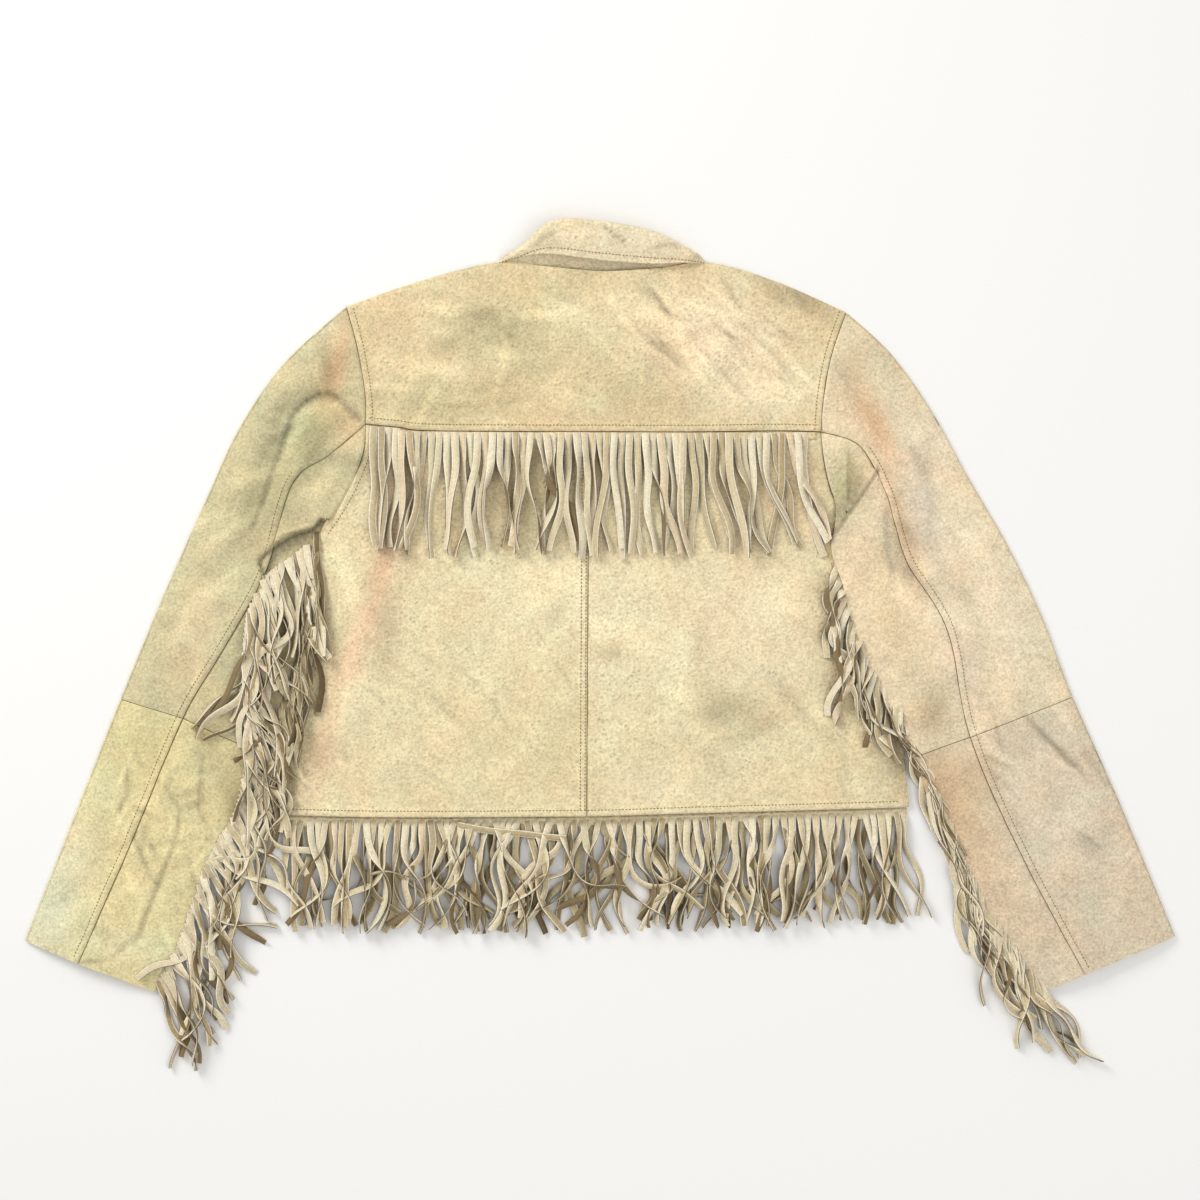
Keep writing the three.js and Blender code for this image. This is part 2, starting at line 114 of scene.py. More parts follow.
def trace(points: Points, fine: int = 24) -> np.ndarray:
    """A smooth line through points, as many short steps.

    Args:
        points: The points it passes through.
        fine: Steps from each point to the next.

    Returns:
        The line's points, one a row.
    """
    p = np.array(points, float)
    ends = np.vstack([p[:1], p, p[-1:]])
    t = np.linspace(0, 1, fine, endpoint=False)[:, None]
    pieces = []
    for a, b, c, d in zip(ends, ends[1:], ends[2:], ends[3:]):
        v0, v1 = (c - a) / 2, (d - b) / 2
        pieces.append(
            (2 * b - 2 * c + v0 + v1) * t**3 + (-3 * b + 3 * c - 2 * v0 - v1) * t**2 + v0 * t + b
        )
    return np.vstack([*pieces, p[-1:]])


def lengths(line: np.ndarray) -> np.ndarray:
    """How far along a line each of its points is."""
    return np.concatenate([[0], np.cumsum(np.linalg.norm(np.diff(line, axis=0), axis=1))])


def along(points: Points, shares: np.ndarray) -> np.ndarray:
    """Points at given shares of a smooth line's length.

    Args:
        points: The points that the line passes through.
        shares: Shares of its length, from 0 to 1.

    Returns:
        One point a row.
    """
    line = trace(points)
    far = lengths(line)
    return np.column_stack([np.interp(shares * far[-1], far, column) for column in line.T])


def graded(length: float, step: float) -> np.ndarray:
    """Shares of a length that are close together by its two ends.

    Args:
        length: The length in millimetres.
        step: The spacing away from the ends.

    Returns:
        Shares from 0 to 1.
    """
    near = np.array(EDGE_ROWS)
    inner = np.linspace(near[-1], length - near[-1], max(3, round(length / step)))
    return np.concatenate([near[:-1], inner, (length - near[:-1])[::-1]]) / length


def distance(at: np.ndarray, line: np.ndarray) -> np.ndarray:
    """How far points are from a line, seen from above.

    Args:
        at: The points, with x and y last.
        line: The line's points.

    Returns:
        One distance for each point, in the shape of the points' grid.
    """
    flat = at[..., :2].reshape(-1, 2)
    best = np.full(len(flat), np.inf)
    for a, b in zip(line[:-1], line[1:]):
        run = b - a
        t = np.clip(((flat - a) @ run) / max(run @ run, 1e-9), 0, 1)
        best = np.minimum(best, np.linalg.norm(flat - a - t[:, None] * run, axis=1))
    return best.reshape(at.shape[:-1])


def panel_plan(top: np.ndarray, bottom: np.ndarray, left: np.ndarray, right: np.ndarray) -> np.ndarray:
    """A grid of points between four edges that meet at their corners.

    Args:
        top: Its upper edge, left to right.
        bottom: Its lower edge, left to right.
        left: Its left edge, top to bottom.
        right: Its right edge, top to bottom.

    Returns:
        Rows of points from top to bottom.
    """
    u = (lengths(top) / lengths(top)[-1])[None, :, None]
    v = (lengths(left) / lengths(left)[-1])[:, None, None]
    sides = (1 - u) * left[:, None] + u * right[:, None]
    ends = (1 - v) * top[None] + v * bottom[None]
    corners = (1 - v) * ((1 - u) * left[0] + u * right[0]) + v * ((1 - u) * left[-1] + u * right[-1])
    return sides + ends - corners


def drawn_in(plan: np.ndarray, by: float = SEAM / 2) -> np.ndarray:
    """A grid with its outermost points moved in, so that neighbours stay apart.

    Args:
        plan: Rows of points, seen from above.
        by: How far they move.

    Returns:
        The new grid.
    """
    made = plan.copy()
    for edge, inner in (((0,), (2,)), ((-1,), (-3,))):
        step = plan[inner[0]] - plan[edge[0]]
        made[edge[0]] += step / np.linalg.norm(step, axis=-1, keepdims=True) * by
        step = plan[:, inner[0]] - plan[:, edge[0]]
        made[:, edge[0]] += step / np.linalg.norm(step, axis=-1, keepdims=True) * by
    return made


def linear(colour: str) -> tuple[float, float, float]:
    """An sRGB hex colour as linear red, green and blue.

    Args:
        colour: Six hex digits.

    Returns:
        The three levels, from 0 to 1.
    """
    parts = (int(colour[i : i + 2], 16) / 255 for i in (0, 2, 4))
    r, g, b = (c / 12.92 if c <= 0.04045 else ((c + 0.055) / 1.055) ** 2.4 for c in parts)
    return r, g, b


# --- The lie of the cloth ---------------------------------------------------------------------------


@dataclass(frozen=True)
class Crease:
    """A straight ridge, or a valley where its height is below nothing."""

    x1: float
    y1: float
    x2: float
    y2: float
    width: float
    height: float

    def relief(self, at: np.ndarray) -> np.ndarray:
        """Its height at points.

        Args:
            at: The points, with x and y last.

        Returns:
            The height that it adds at each.
        """
        a, b = np.array([self.x1, self.y1]), np.array([self.x2, self.y2])
        run = b - a
        raw = ((at[..., :2] - a) @ run) / (run @ run)
        t = np.clip(raw, 0, 1)
        away = np.linalg.norm(at[..., :2] - a - t[..., None] * run, axis=-1)
        return self.height * np.exp(-((away / self.width) ** 2)) * (0.35 + 0.65 * np.sin(np.pi * t))


# Ridges and valleys that the suede has kept, largest first.
CREASES = tuple(
    Crease(*row)
    for row in (
        # x1, y1, x2, y2, width, height
        (22, 322, 96, 262, 2.6, 1.0),
        (60, 310, 150, 240, 2.4, 0.9),
        (96, 330, 172, 262, 2.6, 0.9),
        (30, 290, 88, 236, 2.2, 0.7),
        (70, 282, 128, 222, 2.2, 0.8),
        (118, 300, 182, 232, 2.4, 0.8),
        (40, 332, 120, 296, 2.2, 0.6),
        (-20, 300, 30, 246, 2.2, 0.5),
        (-96, 300, -72, 276, 3.2, -0.8),
        (-84, 318, -60, 300, 3.0, -0.6),
        (-60, 322, -22, 305, 2.6, 0.6),
        (-168, 298, -120, 282, 6.0, 0.9),
        (-190, 262, -120, 252, 7.0, 0.8),
        (-146, 232, -60, 226, 7.0, 0.7),
        (-356, -91, -361, -138, 2.2, -1.4),
        (-361, -138, -350, -160, 2.2, -1.3),
        (-390, -120, -377, -139, 2.2, -1.2),
        (-377, -139, -380, -166, 2.2, -1.5),
        (-380, -166, -414, -252, 2.6, -1.6),
        (-414, -252, -439, -274, 2.2, -1.2),
        (-439, -274, -470, -278, 2.4, -1.2),
        (-377, -139, -352, -134, 2.2, -1.0),
        (-419, -162, -402, -202, 2.4, -1.3),
        (-402, -202, -396, -208, 2.2, -1.0),
        (-424, -98, -424, -130, 2.6, -1.2),
        (-431, -128, -430, -146, 2.4, -1.0),
        (-366, -163, -340, -168, 2.4, -0.9),
        (381, -56, 441, -116, 3.0, -1.8),
        (346, -85, 376, -104, 2.2, 1.0),
        (388, -88, 440, -112, 2.4, 1.0),
        (408, -40, 432, -84, 4.0, 1.2),
        (300, 40, 352, 8, 6.0, 0.8),
        (262, 70, 300, 20, 8.0, 1.0),
        (-300, 188, -246, 220, 5.0, -1.0),
        (-330, 150, -286, 166, 6.0, 1.2),
        (-352, 96, -300, 130, 7.0, 1.2),
        (-372, 40, -320, 74, 8.0, 1.1),
        (-180, 10, -130, -20, 2.6, -0.5),
        (-150, -40, -110, -74, 2.6, -0.5),
        (-236, 100, -214, 20, 9.0, 1.4),
        (-214, 30, -232, -60, 9.0, 1.2),
        (96, -40, 150, -56, 15.0, -0.7),
        (206, 40, 214, -70, 12.0, -0.8),
    )
)


@dataclass(frozen=True)
class Wrinkling:
    """A patch of small wrinkles that run roughly one way."""

    x: float
    y: float
    radius_x: float
    radius_y: float
    angle: float  # degrees
    spread: float
    count: int
    length: float
    width: float
    height: float
    seed: int

    def creases(self) -> tuple[Crease, ...]:
        """The patch's wrinkles, each drawn at random.

        Returns:
            A crease for each.
        """
        random = np.random.default_rng(self.seed)
        made = []
        for _ in range(self.count):
            x = self.x + self.radius_x * random.uniform(-1, 1)
            y = self.y + self.radius_y * random.uniform(-1, 1)
            angle = math.radians(self.angle + random.normal(0, self.spread))
            half = self.length * random.uniform(0.25, 0.75)
            dx, dy = half * math.cos(angle), half * math.sin(angle)
            high = self.height * random.uniform(0.3, 1.0) * (1 if random.random() < 0.6 else -1)
            made.append(Crease(x - dx, y - dy, x + dx, y + dy, self.width * random.uniform(0.8, 1.4), high))
        return tuple(made)


@dataclass(frozen=True)
class Fold:
    """A ridge or valley along several points."""

    width: float
    height: float
    points: Points

    def creases(self) -> tuple[Crease, ...]:
        """Its straight parts."""
        line = trace(self.points, 3)
        return tuple(Crease(*a, *b, self.width, self.height) for a, b in zip(line[:-1], line[1:]))


FOLDS = (
    # The hollow round the left underarm, and the shade beside it.
    Fold(
        3.2,
        -1.5,
        (
            *((-214, 208), (-241, 233), (-260, 229), (-274, 216)),
            *((-284, 191), (-291, 171), (-301, 140), (-312, 112)),
        ),
    ),
    Fold(9.0, -0.8, ((-250, 238), (-280, 222), (-298, 186), (-312, 146), (-322, 104))),
    Fold(6.0, 0.8, ((-232, 222), (-256, 216), (-270, 200), (-278, 180))),
    # The undersides of the two places where the underarm folds over.
    Fold(2.0, -2.6, ((-250, 121), (-258, 111), (-278, 104), (-297, 91), (-305, 82), (-300, 69))),
    Fold(5.0, -1.0, ((-262, 104), (-282, 96), (-296, 84))),
    Fold(2.0, -2.0, ((250, 166), (238, 148), (222, 124), (206, 101))),
    Fold(6.0, -0.9, ((236, 160), (226, 142), (212, 122))),
    Fold(3.0, -0.8, ((258, 130), (256, 100), (262, 70))),
    # The collar's own bends.
    Fold(1.8, -1.6, ((4, 381), (12, 374), (22, 368))),
    Fold(2.2, -1.0, ((50, 362), (62, 366), (72, 362))),
    Fold(2.6, -0.8, ((-58, 366), (-50, 372), (-40, 376))),
)

# Patches of small wrinkles.
WRINKLING = tuple(
    Wrinkling(*row)
    for row in (
        # x, y, radius in x, radius in y, angle, spread, count, length, width, height, seed
        (100, 278, 82, 52, -42, 16, 54, 46, 1.9, 1.3, 3),
        (60, 292, 60, 38, -12, 24, 16, 44, 2.0, 1.0, 4),
        (-100, 270, 90, 52, 12, 26, 24, 50, 4.0, 1.1, 5),
        (-80, 306, 40, 24, -40, 20, 8, 20, 2.4, 0.7, 6),
        (-394, -180, 46, 86, 70, 46, 40, 30, 2.0, 1.3, 7),
        (-340, 40, 50, 80, 60, 30, 16, 44, 6.0, 1.0, 8),
        (-270, 200, 44, 60, 40, 26, 14, 44, 6.0, 1.1, 9),
        (300, 140, 40, 90, -60, 22, 14, 46, 6.0, 0.9, 10),
        (400, -130, 60, 70, -44, 18, 18, 48, 2.6, 1.1, 11),
        (-130, -70, 110, 60, -48, 12, 14, 46, 1.9, 0.8, 12),
        (120, -40, 120, 80, -30, 34, 16, 50, 8.0, 0.9, 13),
        (-120, 90, 100, 80, 60, 30, 12, 54, 8.0, 0.8, 14),
    )
)
ALL_CREASES = CREASES + tuple(crease for source in (*FOLDS, *WRINKLING) for crease in source.creases())

# Slow swells in the cloth: how long each is in X and in Y, how high, and where it starts.
SWELLS = ((96.0, 70.0, 0.9, 0.4), (61.0, 118.0, 0.75, 2.1), (37.0, 45.0, 0.4, 4.0), (150.0, 51.0, 0.6, 1.2))


def swell(at: np.ndarray) -> np.ndarray:
    """The height of the cloth's own slow unevenness.

    Args:
        at: The points, with x and y last.

    Returns:
        The height that it adds at each.
    """
    x, y = at[..., 0], at[..., 1]
    return sum(
        high * np.sin(2 * np.pi * x / wide + 1.7 * np.sin(y / long) + start)
        * np.cos(2 * np.pi * y / long + start * 2)
        for wide, long, high, start in SWELLS
    )


def kept_creases(at: np.ndarray) -> np.ndarray:
    """The height of all the ridges and valleys together."""
    return sum(crease.relief(at) for crease in ALL_CREASES)


# Where a fold of the under sleeve lies over the rest: its line, and how high it stands.
LEFT_FLAP: Points = ((-250, 120), (-258, 112), (-278, 106), (-297, 93), (-304, 83), (-300, 71))
RIGHT_FLAP: Points = ((247, 166), (236, 148), (220, 122), (204, 101))
FLAP_HEIGHT = 4.6


def collar_rise(at: np.ndarray) -> np.ndarray:
    """How far the fronts are lifted where they lie on the collar."""
    out = np.hypot((at[..., 0] - 4) / 126, (at[..., 1] - 330) / 106)
    return RISE * (1 - smooth(out, 1, 1.3))


def overlap_rise(at: np.ndarray) -> np.ndarray:
    """How far a layer is lifted where one front lies over the other."""
    return RISE * (1 - smooth(np.abs(at[..., 0] - CENTRE_X), OVERLAP + 12, OVERLAP + 46))


def parting(at: np.ndarray, edges: Sequence[np.ndarray], loft: float) -> np.ndarray:
    """The clear height between two layers.

    Args:
        at: The points, with x and y last.
        edges: The lines where the layers are joined.
        loft: How much further apart they are away from those.

    Returns:
        The height at each point.
    """
    near = np.min([distance(at, edge) for edge in edges], axis=0)
    return GAP + loft * (1 - np.exp(-near / PINCH))


def band(away: np.ndarray) -> np.ndarray:
    """The relief of a seam's turned-under band: raised, drawn in at the stitches, sunk at the seam.

    Args:
        away: How far each point is from the seam.

    Returns:
        The height that it adds at each.
    """
    raised = BAND_RISE * (1 - smooth(away, BAND - 0.8, BAND + 0.9))
    pulled = 0.55 * np.exp(-(((away - STITCH_IN) / 0.8) ** 2))
    return raised - pulled - 0.9 * (1 - smooth(away, 0, 1.5))


def butt(away: np.ndarray) -> np.ndarray:
    """The relief beside a seam on its plain side, by the distance from the seam."""
    return -1.0 * (1 - smooth(away, 0, 2.2))


# --- Finishes -----------------------------------------------------------------------------------------


def add_node(
    tree: bpy.types.NodeTree,
    kind: str,
    settings: dict[str, object] | None = None,
    inputs: dict[str | int, object] | None = None,
) -> bpy.types.Node:
    """Adds a node with its settings and links.

    Args:
        tree: The tree it goes in.
        kind: The node's type name.
        settings: Its own properties.
        inputs: What each socket is linked to, or its value.

    Returns:
        The node.
    """
    node = tree.nodes.new(kind)
    for name, value in (settings or {}).items():
        setattr(node, name, value)
    for name, value in (inputs or {}).items():
        if isinstance(value, bpy.types.NodeSocket):
            tree.links.new(value, node.inputs[name])
        else:
            node.inputs[name].default_value = value
    return node


def blank_tree(name: str, takes: dict[str, str], gives: str) -> bpy.types.NodeTree:
    """Starts a Geometry Nodes tree.

    Args:
        name: Its name.
        takes: Its inputs, each with its kind of socket.
        gives: The name of the geometry that it makes.

    Returns:
        The tree, with its sockets and no nodes.
    """
    tree = bpy.data.node_groups.new(name, "GeometryNodeTree")
    for key, kind in takes.items():
        tree.interface.new_socket(key, in_out="INPUT", socket_type="NodeSocket" + kind)
    tree.interface.new_socket(gives, in_out="OUTPUT", socket_type="NodeSocketGeometry")
    return tree


def blank_material(name: str) -> tuple[bpy.types.Material, bpy.types.NodeTree]:
    """Starts a material.

    Args:
        name: Its name.

    Returns:
        The material and its empty node tree.
    """
    material = bpy.data.materials.new(name)
    material.use_nodes = True
    material.node_tree.nodes.clear()
    return material, material.node_tree


@dataclass(frozen=True)
class Suede:
    """Pigskin split, napped: a dry, dull, slightly furry surface with the skin's pores in it."""

    name: str
    pore_depth: float = 0.6  # how dark the pores are
    grain: float = 1.0  # how uneven the nap's light is, from one tuft to the next
    brush: float = 0.45  # the same, from one stroke of the brush to the next
    mottle: float = 0.5  # how uneven the dye is
    nap_grain_mm: float = 2.3  # the nap's fibres are finer than this, drawn coarse enough to show
    stroke_mm: float = 7.0
    pore_spacing_mm: float = 4.4
    blotch_mm: float = 24.0
    tint_mm: float = 46.0

    def material(self) -> bpy.types.Material:
        """Builds the material.

        Returns:
            The material, which reads the piece's dye attribute, painted light included, for its colour.
        """
        material, tree = blank_material(self.name)
        place = add_node(tree, "ShaderNodeTexCoord").outputs["Object"]
        dye = add_node(tree, "ShaderNodeAttribute", {"attribute_name": "dye"}).outputs["Color"]
        nap, brushed, blotch, uneven = (
            add_node(
                tree,
                "ShaderNodeTexNoise",
                inputs={
                    "Vector": place,
                    "Scale": 1 / (size * MM),
                    "Detail": detail,
                    "Roughness": rough,
                    "Distortion": bent,
                },
            ).outputs["Fac"]
            for size, detail, rough, bent in (
                (self.nap_grain_mm, 2.0, 0.6, 0.0),
                (self.stroke_mm, 5.0, 0.65, 0.6),
                (self.blotch_mm, 4.0, 0.6, 0.0),
                (self.tint_mm, 5.0, 0.65, 0.0),
            )
        )
        pores = add_node(
            tree,
            "ShaderNodeTexVoronoi",
            inputs={"Vector": place, "Scale": 1 / (self.pore_spacing_mm * MM), "Randomness": 0.9},
        ).outputs["Distance"]
        wear_and_crease_light = add_node(
            tree, "ShaderNodeMapRange", inputs={"Value": blotch, "From Min": 0.35, "From Max": 0.65}
        ).outputs["Result"]
        pit = add_node(
            tree,
            "ShaderNodeMapRange",
            {"interpolation_type": "SMOOTHSTEP"},
            {"Value": pores, "From Min": 0.05, "From Max": 0.5, "To Min": 1.0, "To Max": 0.0},
        ).outputs["Result"]
        pit = add_node(tree, "ShaderNodeMath", {"operation": "MULTIPLY"}, {0: pit, 1: wear_and_crease_light}).outputs[0]
        # Each noise is 0.5 on average, so this keeps the whole as light as the dye.
        light = 1.03 + 0.03 * self.pore_depth - 0.5 * (self.grain + self.brush + self.mottle)
        for noise, share in (
            (nap, self.grain),
            (brushed, self.brush),
            (blotch, self.mottle),
            (pit, -0.16 * self.pore_depth),
        ):
            light = add_node(
                tree, "ShaderNodeMath", {"operation": "MULTIPLY_ADD"}, {0: noise, 1: share, 2: light}
            ).outputs[0]
        rosy = add_node(
            tree, "ShaderNodeMapRange", inputs={"Value": uneven, "From Min": 0.3, "From Max": 0.7}
        ).outputs["Result"]
        tint = add_node(
            tree,
            "ShaderNodeMix",
            {"data_type": "RGBA"},
            {"Factor": rosy, "A": (1.06, 0.98, 0.94, 1), "B": (0.95, 1.0, 1.0, 1)},
        ).outputs["Result"]
        colour = add_node(tree, "ShaderNodeVectorMath", {"operation": "MULTIPLY"}, {0: dye, 1: tint}).outputs[0]
        colour = add_node(
            tree, "ShaderNodeVectorMath", {"operation": "SCALE"}, {"Vector": colour, "Scale": light}
        ).outputs["Vector"]
        height = 0.0
        for noise, share in ((nap, 0.5), (brushed, 0.9), (pit, -0.7 * self.pore_depth)):
            height = add_node(
                tree, "ShaderNodeMath", {"operation": "MULTIPLY_ADD"}, {0: noise, 1: share, 2: height}
            ).outputs[0]
        bump = add_node(
            tree, "ShaderNodeBump", inputs={"Height": height, "Strength": 0.9, "Distance": 1.2 * MM}
        ).outputs["Normal"]
        shader = add_node(
            tree,
            "ShaderNodeBsdfPrincipled",
            inputs={
                "Base Color": colour,
                "Normal": bump,
                "Roughness": 0.95,
                "IOR": 1.45,
                "Specular IOR Level": 0.2,
                "Sheen Weight": 0.22,
                "Sheen Roughness": 0.6,
                "Sheen Tint": (*linear("F2E6C8"), 1),
            },
        )
        add_node(tree, "ShaderNodeOutputMaterial", inputs={"Surface": shader.outputs["BSDF"]})
        return material


@dataclass(frozen=True)
class CutStrip:
    """The same split cut into strips: each takes the dye its own way, its raw edges are pale with a painted
    highlight, and its flesh colour doubles as painted shade.
    """

    name: str
    tones: tuple[str, ...]
    raw_edge_and_highlight: str = "FBF4DF"
    flesh_side_and_shade: str = "85714F"
    nap_grain_mm: float = 2.2

    def material(self) -> bpy.types.Material:
        """Builds the material.

        Returns:
            The material, which reads where on the strip's section a point is.
        """
        material, tree = blank_material(self.name)
        place = add_node(tree, "ShaderNodeTexCoord").outputs["Object"]
        island = add_node(tree, "ShaderNodeNewGeometry").outputs["Random Per Island"]
        tone = add_node(tree, "ShaderNodeValToRGB", inputs={"Fac": island})
        stops = tone.color_ramp.elements
        while len(stops) < len(self.tones):
            stops.new(0.5)
        for i, (stop, colour) in enumerate(zip(stops, self.tones)):
            stop.position = i / (len(self.tones) - 1)
            stop.color = (*linear(colour), 1)
        across = add_node(tree, "ShaderNodeAttribute", {"attribute_name": "across"}).outputs["Fac"]
        # Painted highlight: the outer parts of each face blend toward the pale raw-edge colour.
        edge = add_node(
            tree,
            "ShaderNodeMapRange",
            inputs={"Value": across, "From Min": 0.62, "From Max": 0.92, "To Max": 0.95},
        ).outputs["Result"]
        skin = add_node(
            tree,
            "ShaderNodeMix",
            {"data_type": "RGBA"},
            {"Factor": edge, "A": tone.outputs["Color"], "B": (*linear(self.raw_edge_and_highlight), 1)},
        ).outputs["Result"]
        # The flesh colour goes on the strips' other face and their cut sides: partly its own colour, partly
        # painted shade between strips.
        facing = add_node(tree, "ShaderNodeAttribute", {"attribute_name": "facing"}).outputs["Fac"]
        beneath = add_node(
            tree, "ShaderNodeMapRange", inputs={"Value": facing, "From Min": -0.95, "From Max": -0.1}
        ).outputs["Result"]
        colour = add_node(
            tree,
            "ShaderNodeMix",
            {"data_type": "RGBA"},
            {"Factor": beneath, "A": skin, "B": (*linear(self.flesh_side_and_shade), 1)},
        ).outputs["Result"]
        nap = add_node(
            tree,
            "ShaderNodeTexNoise",
            inputs={"Vector": place, "Scale": 1 / (self.nap_grain_mm * MM), "Detail": 5.0, "Roughness": 0.7},
        ).outputs["Fac"]
        light = add_node(
            tree, "ShaderNodeMapRange", inputs={"Value": nap, "To Min": 0.5, "To Max": 1.5}
        ).outputs["Result"]
        colour = add_node(
            tree, "ShaderNodeVectorMath", {"operation": "SCALE"}, {"Vector": colour, "Scale": light}
        ).outputs["Vector"]
        bump = add_node(
            tree, "ShaderNodeBump", inputs={"Height": nap, "Strength": 0.5, "Distance": 0.6 * MM}
        ).outputs["Normal"]
        shader = add_node(
            tree,
            "ShaderNodeBsdfPrincipled",
            inputs={
                "Base Color": colour,
                "Normal": bump,
                "Roughness": 0.95,
                "Specular IOR Level": 0.2,
                "Sheen Weight": 0.15,
                "Sheen Roughness": 0.6,
            },
        )
        add_node(tree, "ShaderNodeOutputMaterial", inputs={"Surface": shader.outputs["BSDF"]})
        return material


@dataclass(frozen=True)
class Plain:
    """One dull colour, for the sewing thread and the table."""

    name: str
    colour: str
    roughness: float = 0.8

    def material(self) -> bpy.types.Material:
        """Builds the material.

        Returns:
            The material, with a faint unevenness in its colour.
        """
        material, tree = blank_material(self.name)
        place = add_node(tree, "ShaderNodeTexCoord").outputs["Object"]
        noise = add_node(tree, "ShaderNodeTexNoise", inputs={"Vector": place, "Scale": 1 / (1.5 * MM)})
        light = add_node(
            tree, "ShaderNodeMapRange", inputs={"Value": noise.outputs["Fac"], "To Min": 0.97, "To Max": 1.03}
        )
        colour = add_node(
            tree,
            "ShaderNodeVectorMath",
            {"operation": "SCALE"},
            {"Vector": linear(self.colour), "Scale": light.outputs["Result"]},
        )
        shader = add_node(
            tree,
            "ShaderNodeBsdfPrincipled",
            inputs={
                "Base Color": colour.outputs["Vector"],
                "Roughness": self.roughness,
                "Specular IOR Level": 0.2,
            },
        )
        add_node(tree, "ShaderNodeOutputMaterial", inputs={"Surface": shader.outputs["BSDF"]})
        return material


@dataclass(frozen=True)
class StainAndShade:
    """A soft patch of another colour: most are stains in the dye, some are painted shadows beside and beneath
    other parts.
    """

    x: float
    y: float
    radius_x: float
    radius_y: float
    turn: float  # degrees
    colour: str
    strength: float

    def share(self, at: np.ndarray) -> np.ndarray:
        """How much of it there is at points.

        Args:
            at: The points in millimetres, with x and y last.

        Returns:
            Its share of the colour at each.
        """
        turn = math.radians(self.turn)
        dx, dy = at[..., 0] - self.x, at[..., 1] - self.y
        u = (dx * math.cos(turn) + dy * math.sin(turn)) / self.radius_x
        v = (-dx * math.sin(turn) + dy * math.cos(turn)) / self.radius_y
        ragged = 0.16 * np.sin(at[..., 0] / 9.0 + 2 * np.sin(at[..., 1] / 13.0)) * np.cos(at[..., 1] / 11.0)
        return self.strength * np.exp(-(u * u + v * v) * (1 + ragged))


def stains_and_shade(*rows: tuple[float, float, float, float, float, str, float]) -> tuple[StainAndShade, ...]:
    """A table of stains and painted shadows, a row for each."""
    return tuple(StainAndShade(*row) for row in rows)


CREASE_LIGHT_LIMITS = (-2.6, 1.2)  # painted light: creases deeper or higher than this are shaded or lit no further
VALLEY_PAINTED_SHADE = 0.26  # painted shade: how much darker the colour is for each millimetre of a valley
RIDGE_PAINTED_HIGHLIGHT = 0.16  # painted highlight: how much lighter it is for each millimetre of a ridge


@dataclass(frozen=True)
class DyeAndShade:
    """A piece's colour, its stains, the painted shadows among them and the painted light on its creases."""

    colour: str
    stains_and_shade: tuple[StainAndShade, ...] = ()

    def paint(self, mesh: bpy.types.Mesh, at: np.ndarray) -> None:
        """Writes the colour onto a mesh's points, with painted shade in crease valleys and a painted highlight
        on their ridges.

        Args:
            mesh: The mesh.
            at: Its points in millimetres, one a row.
        """
        colour = np.tile(linear(self.colour), (len(at), 1))
        for marking in self.stains_and_shade:
            share = marking.share(at)[:, None]
            colour = colour * (1 - share) + np.array(linear(marking.colour)) * share
        # Painted light: crease valleys are painted darker and ridges lighter, so that the creases show as if
        # lit.
        wear_and_crease_light = np.clip(kept_creases(at), *CREASE_LIGHT_LIMITS)[:, None]
        colour = colour * (1 + np.where(wear_and_crease_light < 0, VALLEY_PAINTED_SHADE, RIDGE_PAINTED_HIGHLIGHT) * wear_and_crease_light)
        attribute = mesh.color_attributes.new("dye", "FLOAT_COLOR", "POINT")
        attribute.data.foreach_set("color", np.column_stack([colour, np.ones(len(at))]).ravel())


# x, y, radius in x, radius in y, turn, colour, strength
YOKE_DYE = DyeAndShade(
    "DAC89F",
    stains_and_shade(
        (-90, 290, 46, 32, 10, "B7AC84", 0.8),
        (-40, 262, 50, 20, 20, "CDBF97", 0.6),
        (-144, 228, 60, 22, 5, "BDB188", 0.75),
        (-130, 256, 60, 10, 8, "E6D6AC", 0.6),
        (-190, 300, 24, 20, 0, "D9B58C", 0.4),
        (0, 306, 60, 26, 0, "EADBB2", 0.6),
        (108, 280, 70, 52, -30, "F1DDBC", 0.7),
        (60, 226, 60, 20, 0, "D5C39B", 0.5),
        (150, 236, 60, 22, 0, "F0E0BC", 0.7),
        (176, 322, 36, 15, -30, "9F9172", 0.75),
        (30, 240, 44, 18, 0, "CDBD95", 0.6),
        (60, 268, 30, 16, -40, "D2BE9C", 0.6),
        (-40, 330, 60, 12, 0, "D0C095", 0.5),
        (0, 345, 90, 8, 0, "D8CAA2", 0.4),
    ),
)
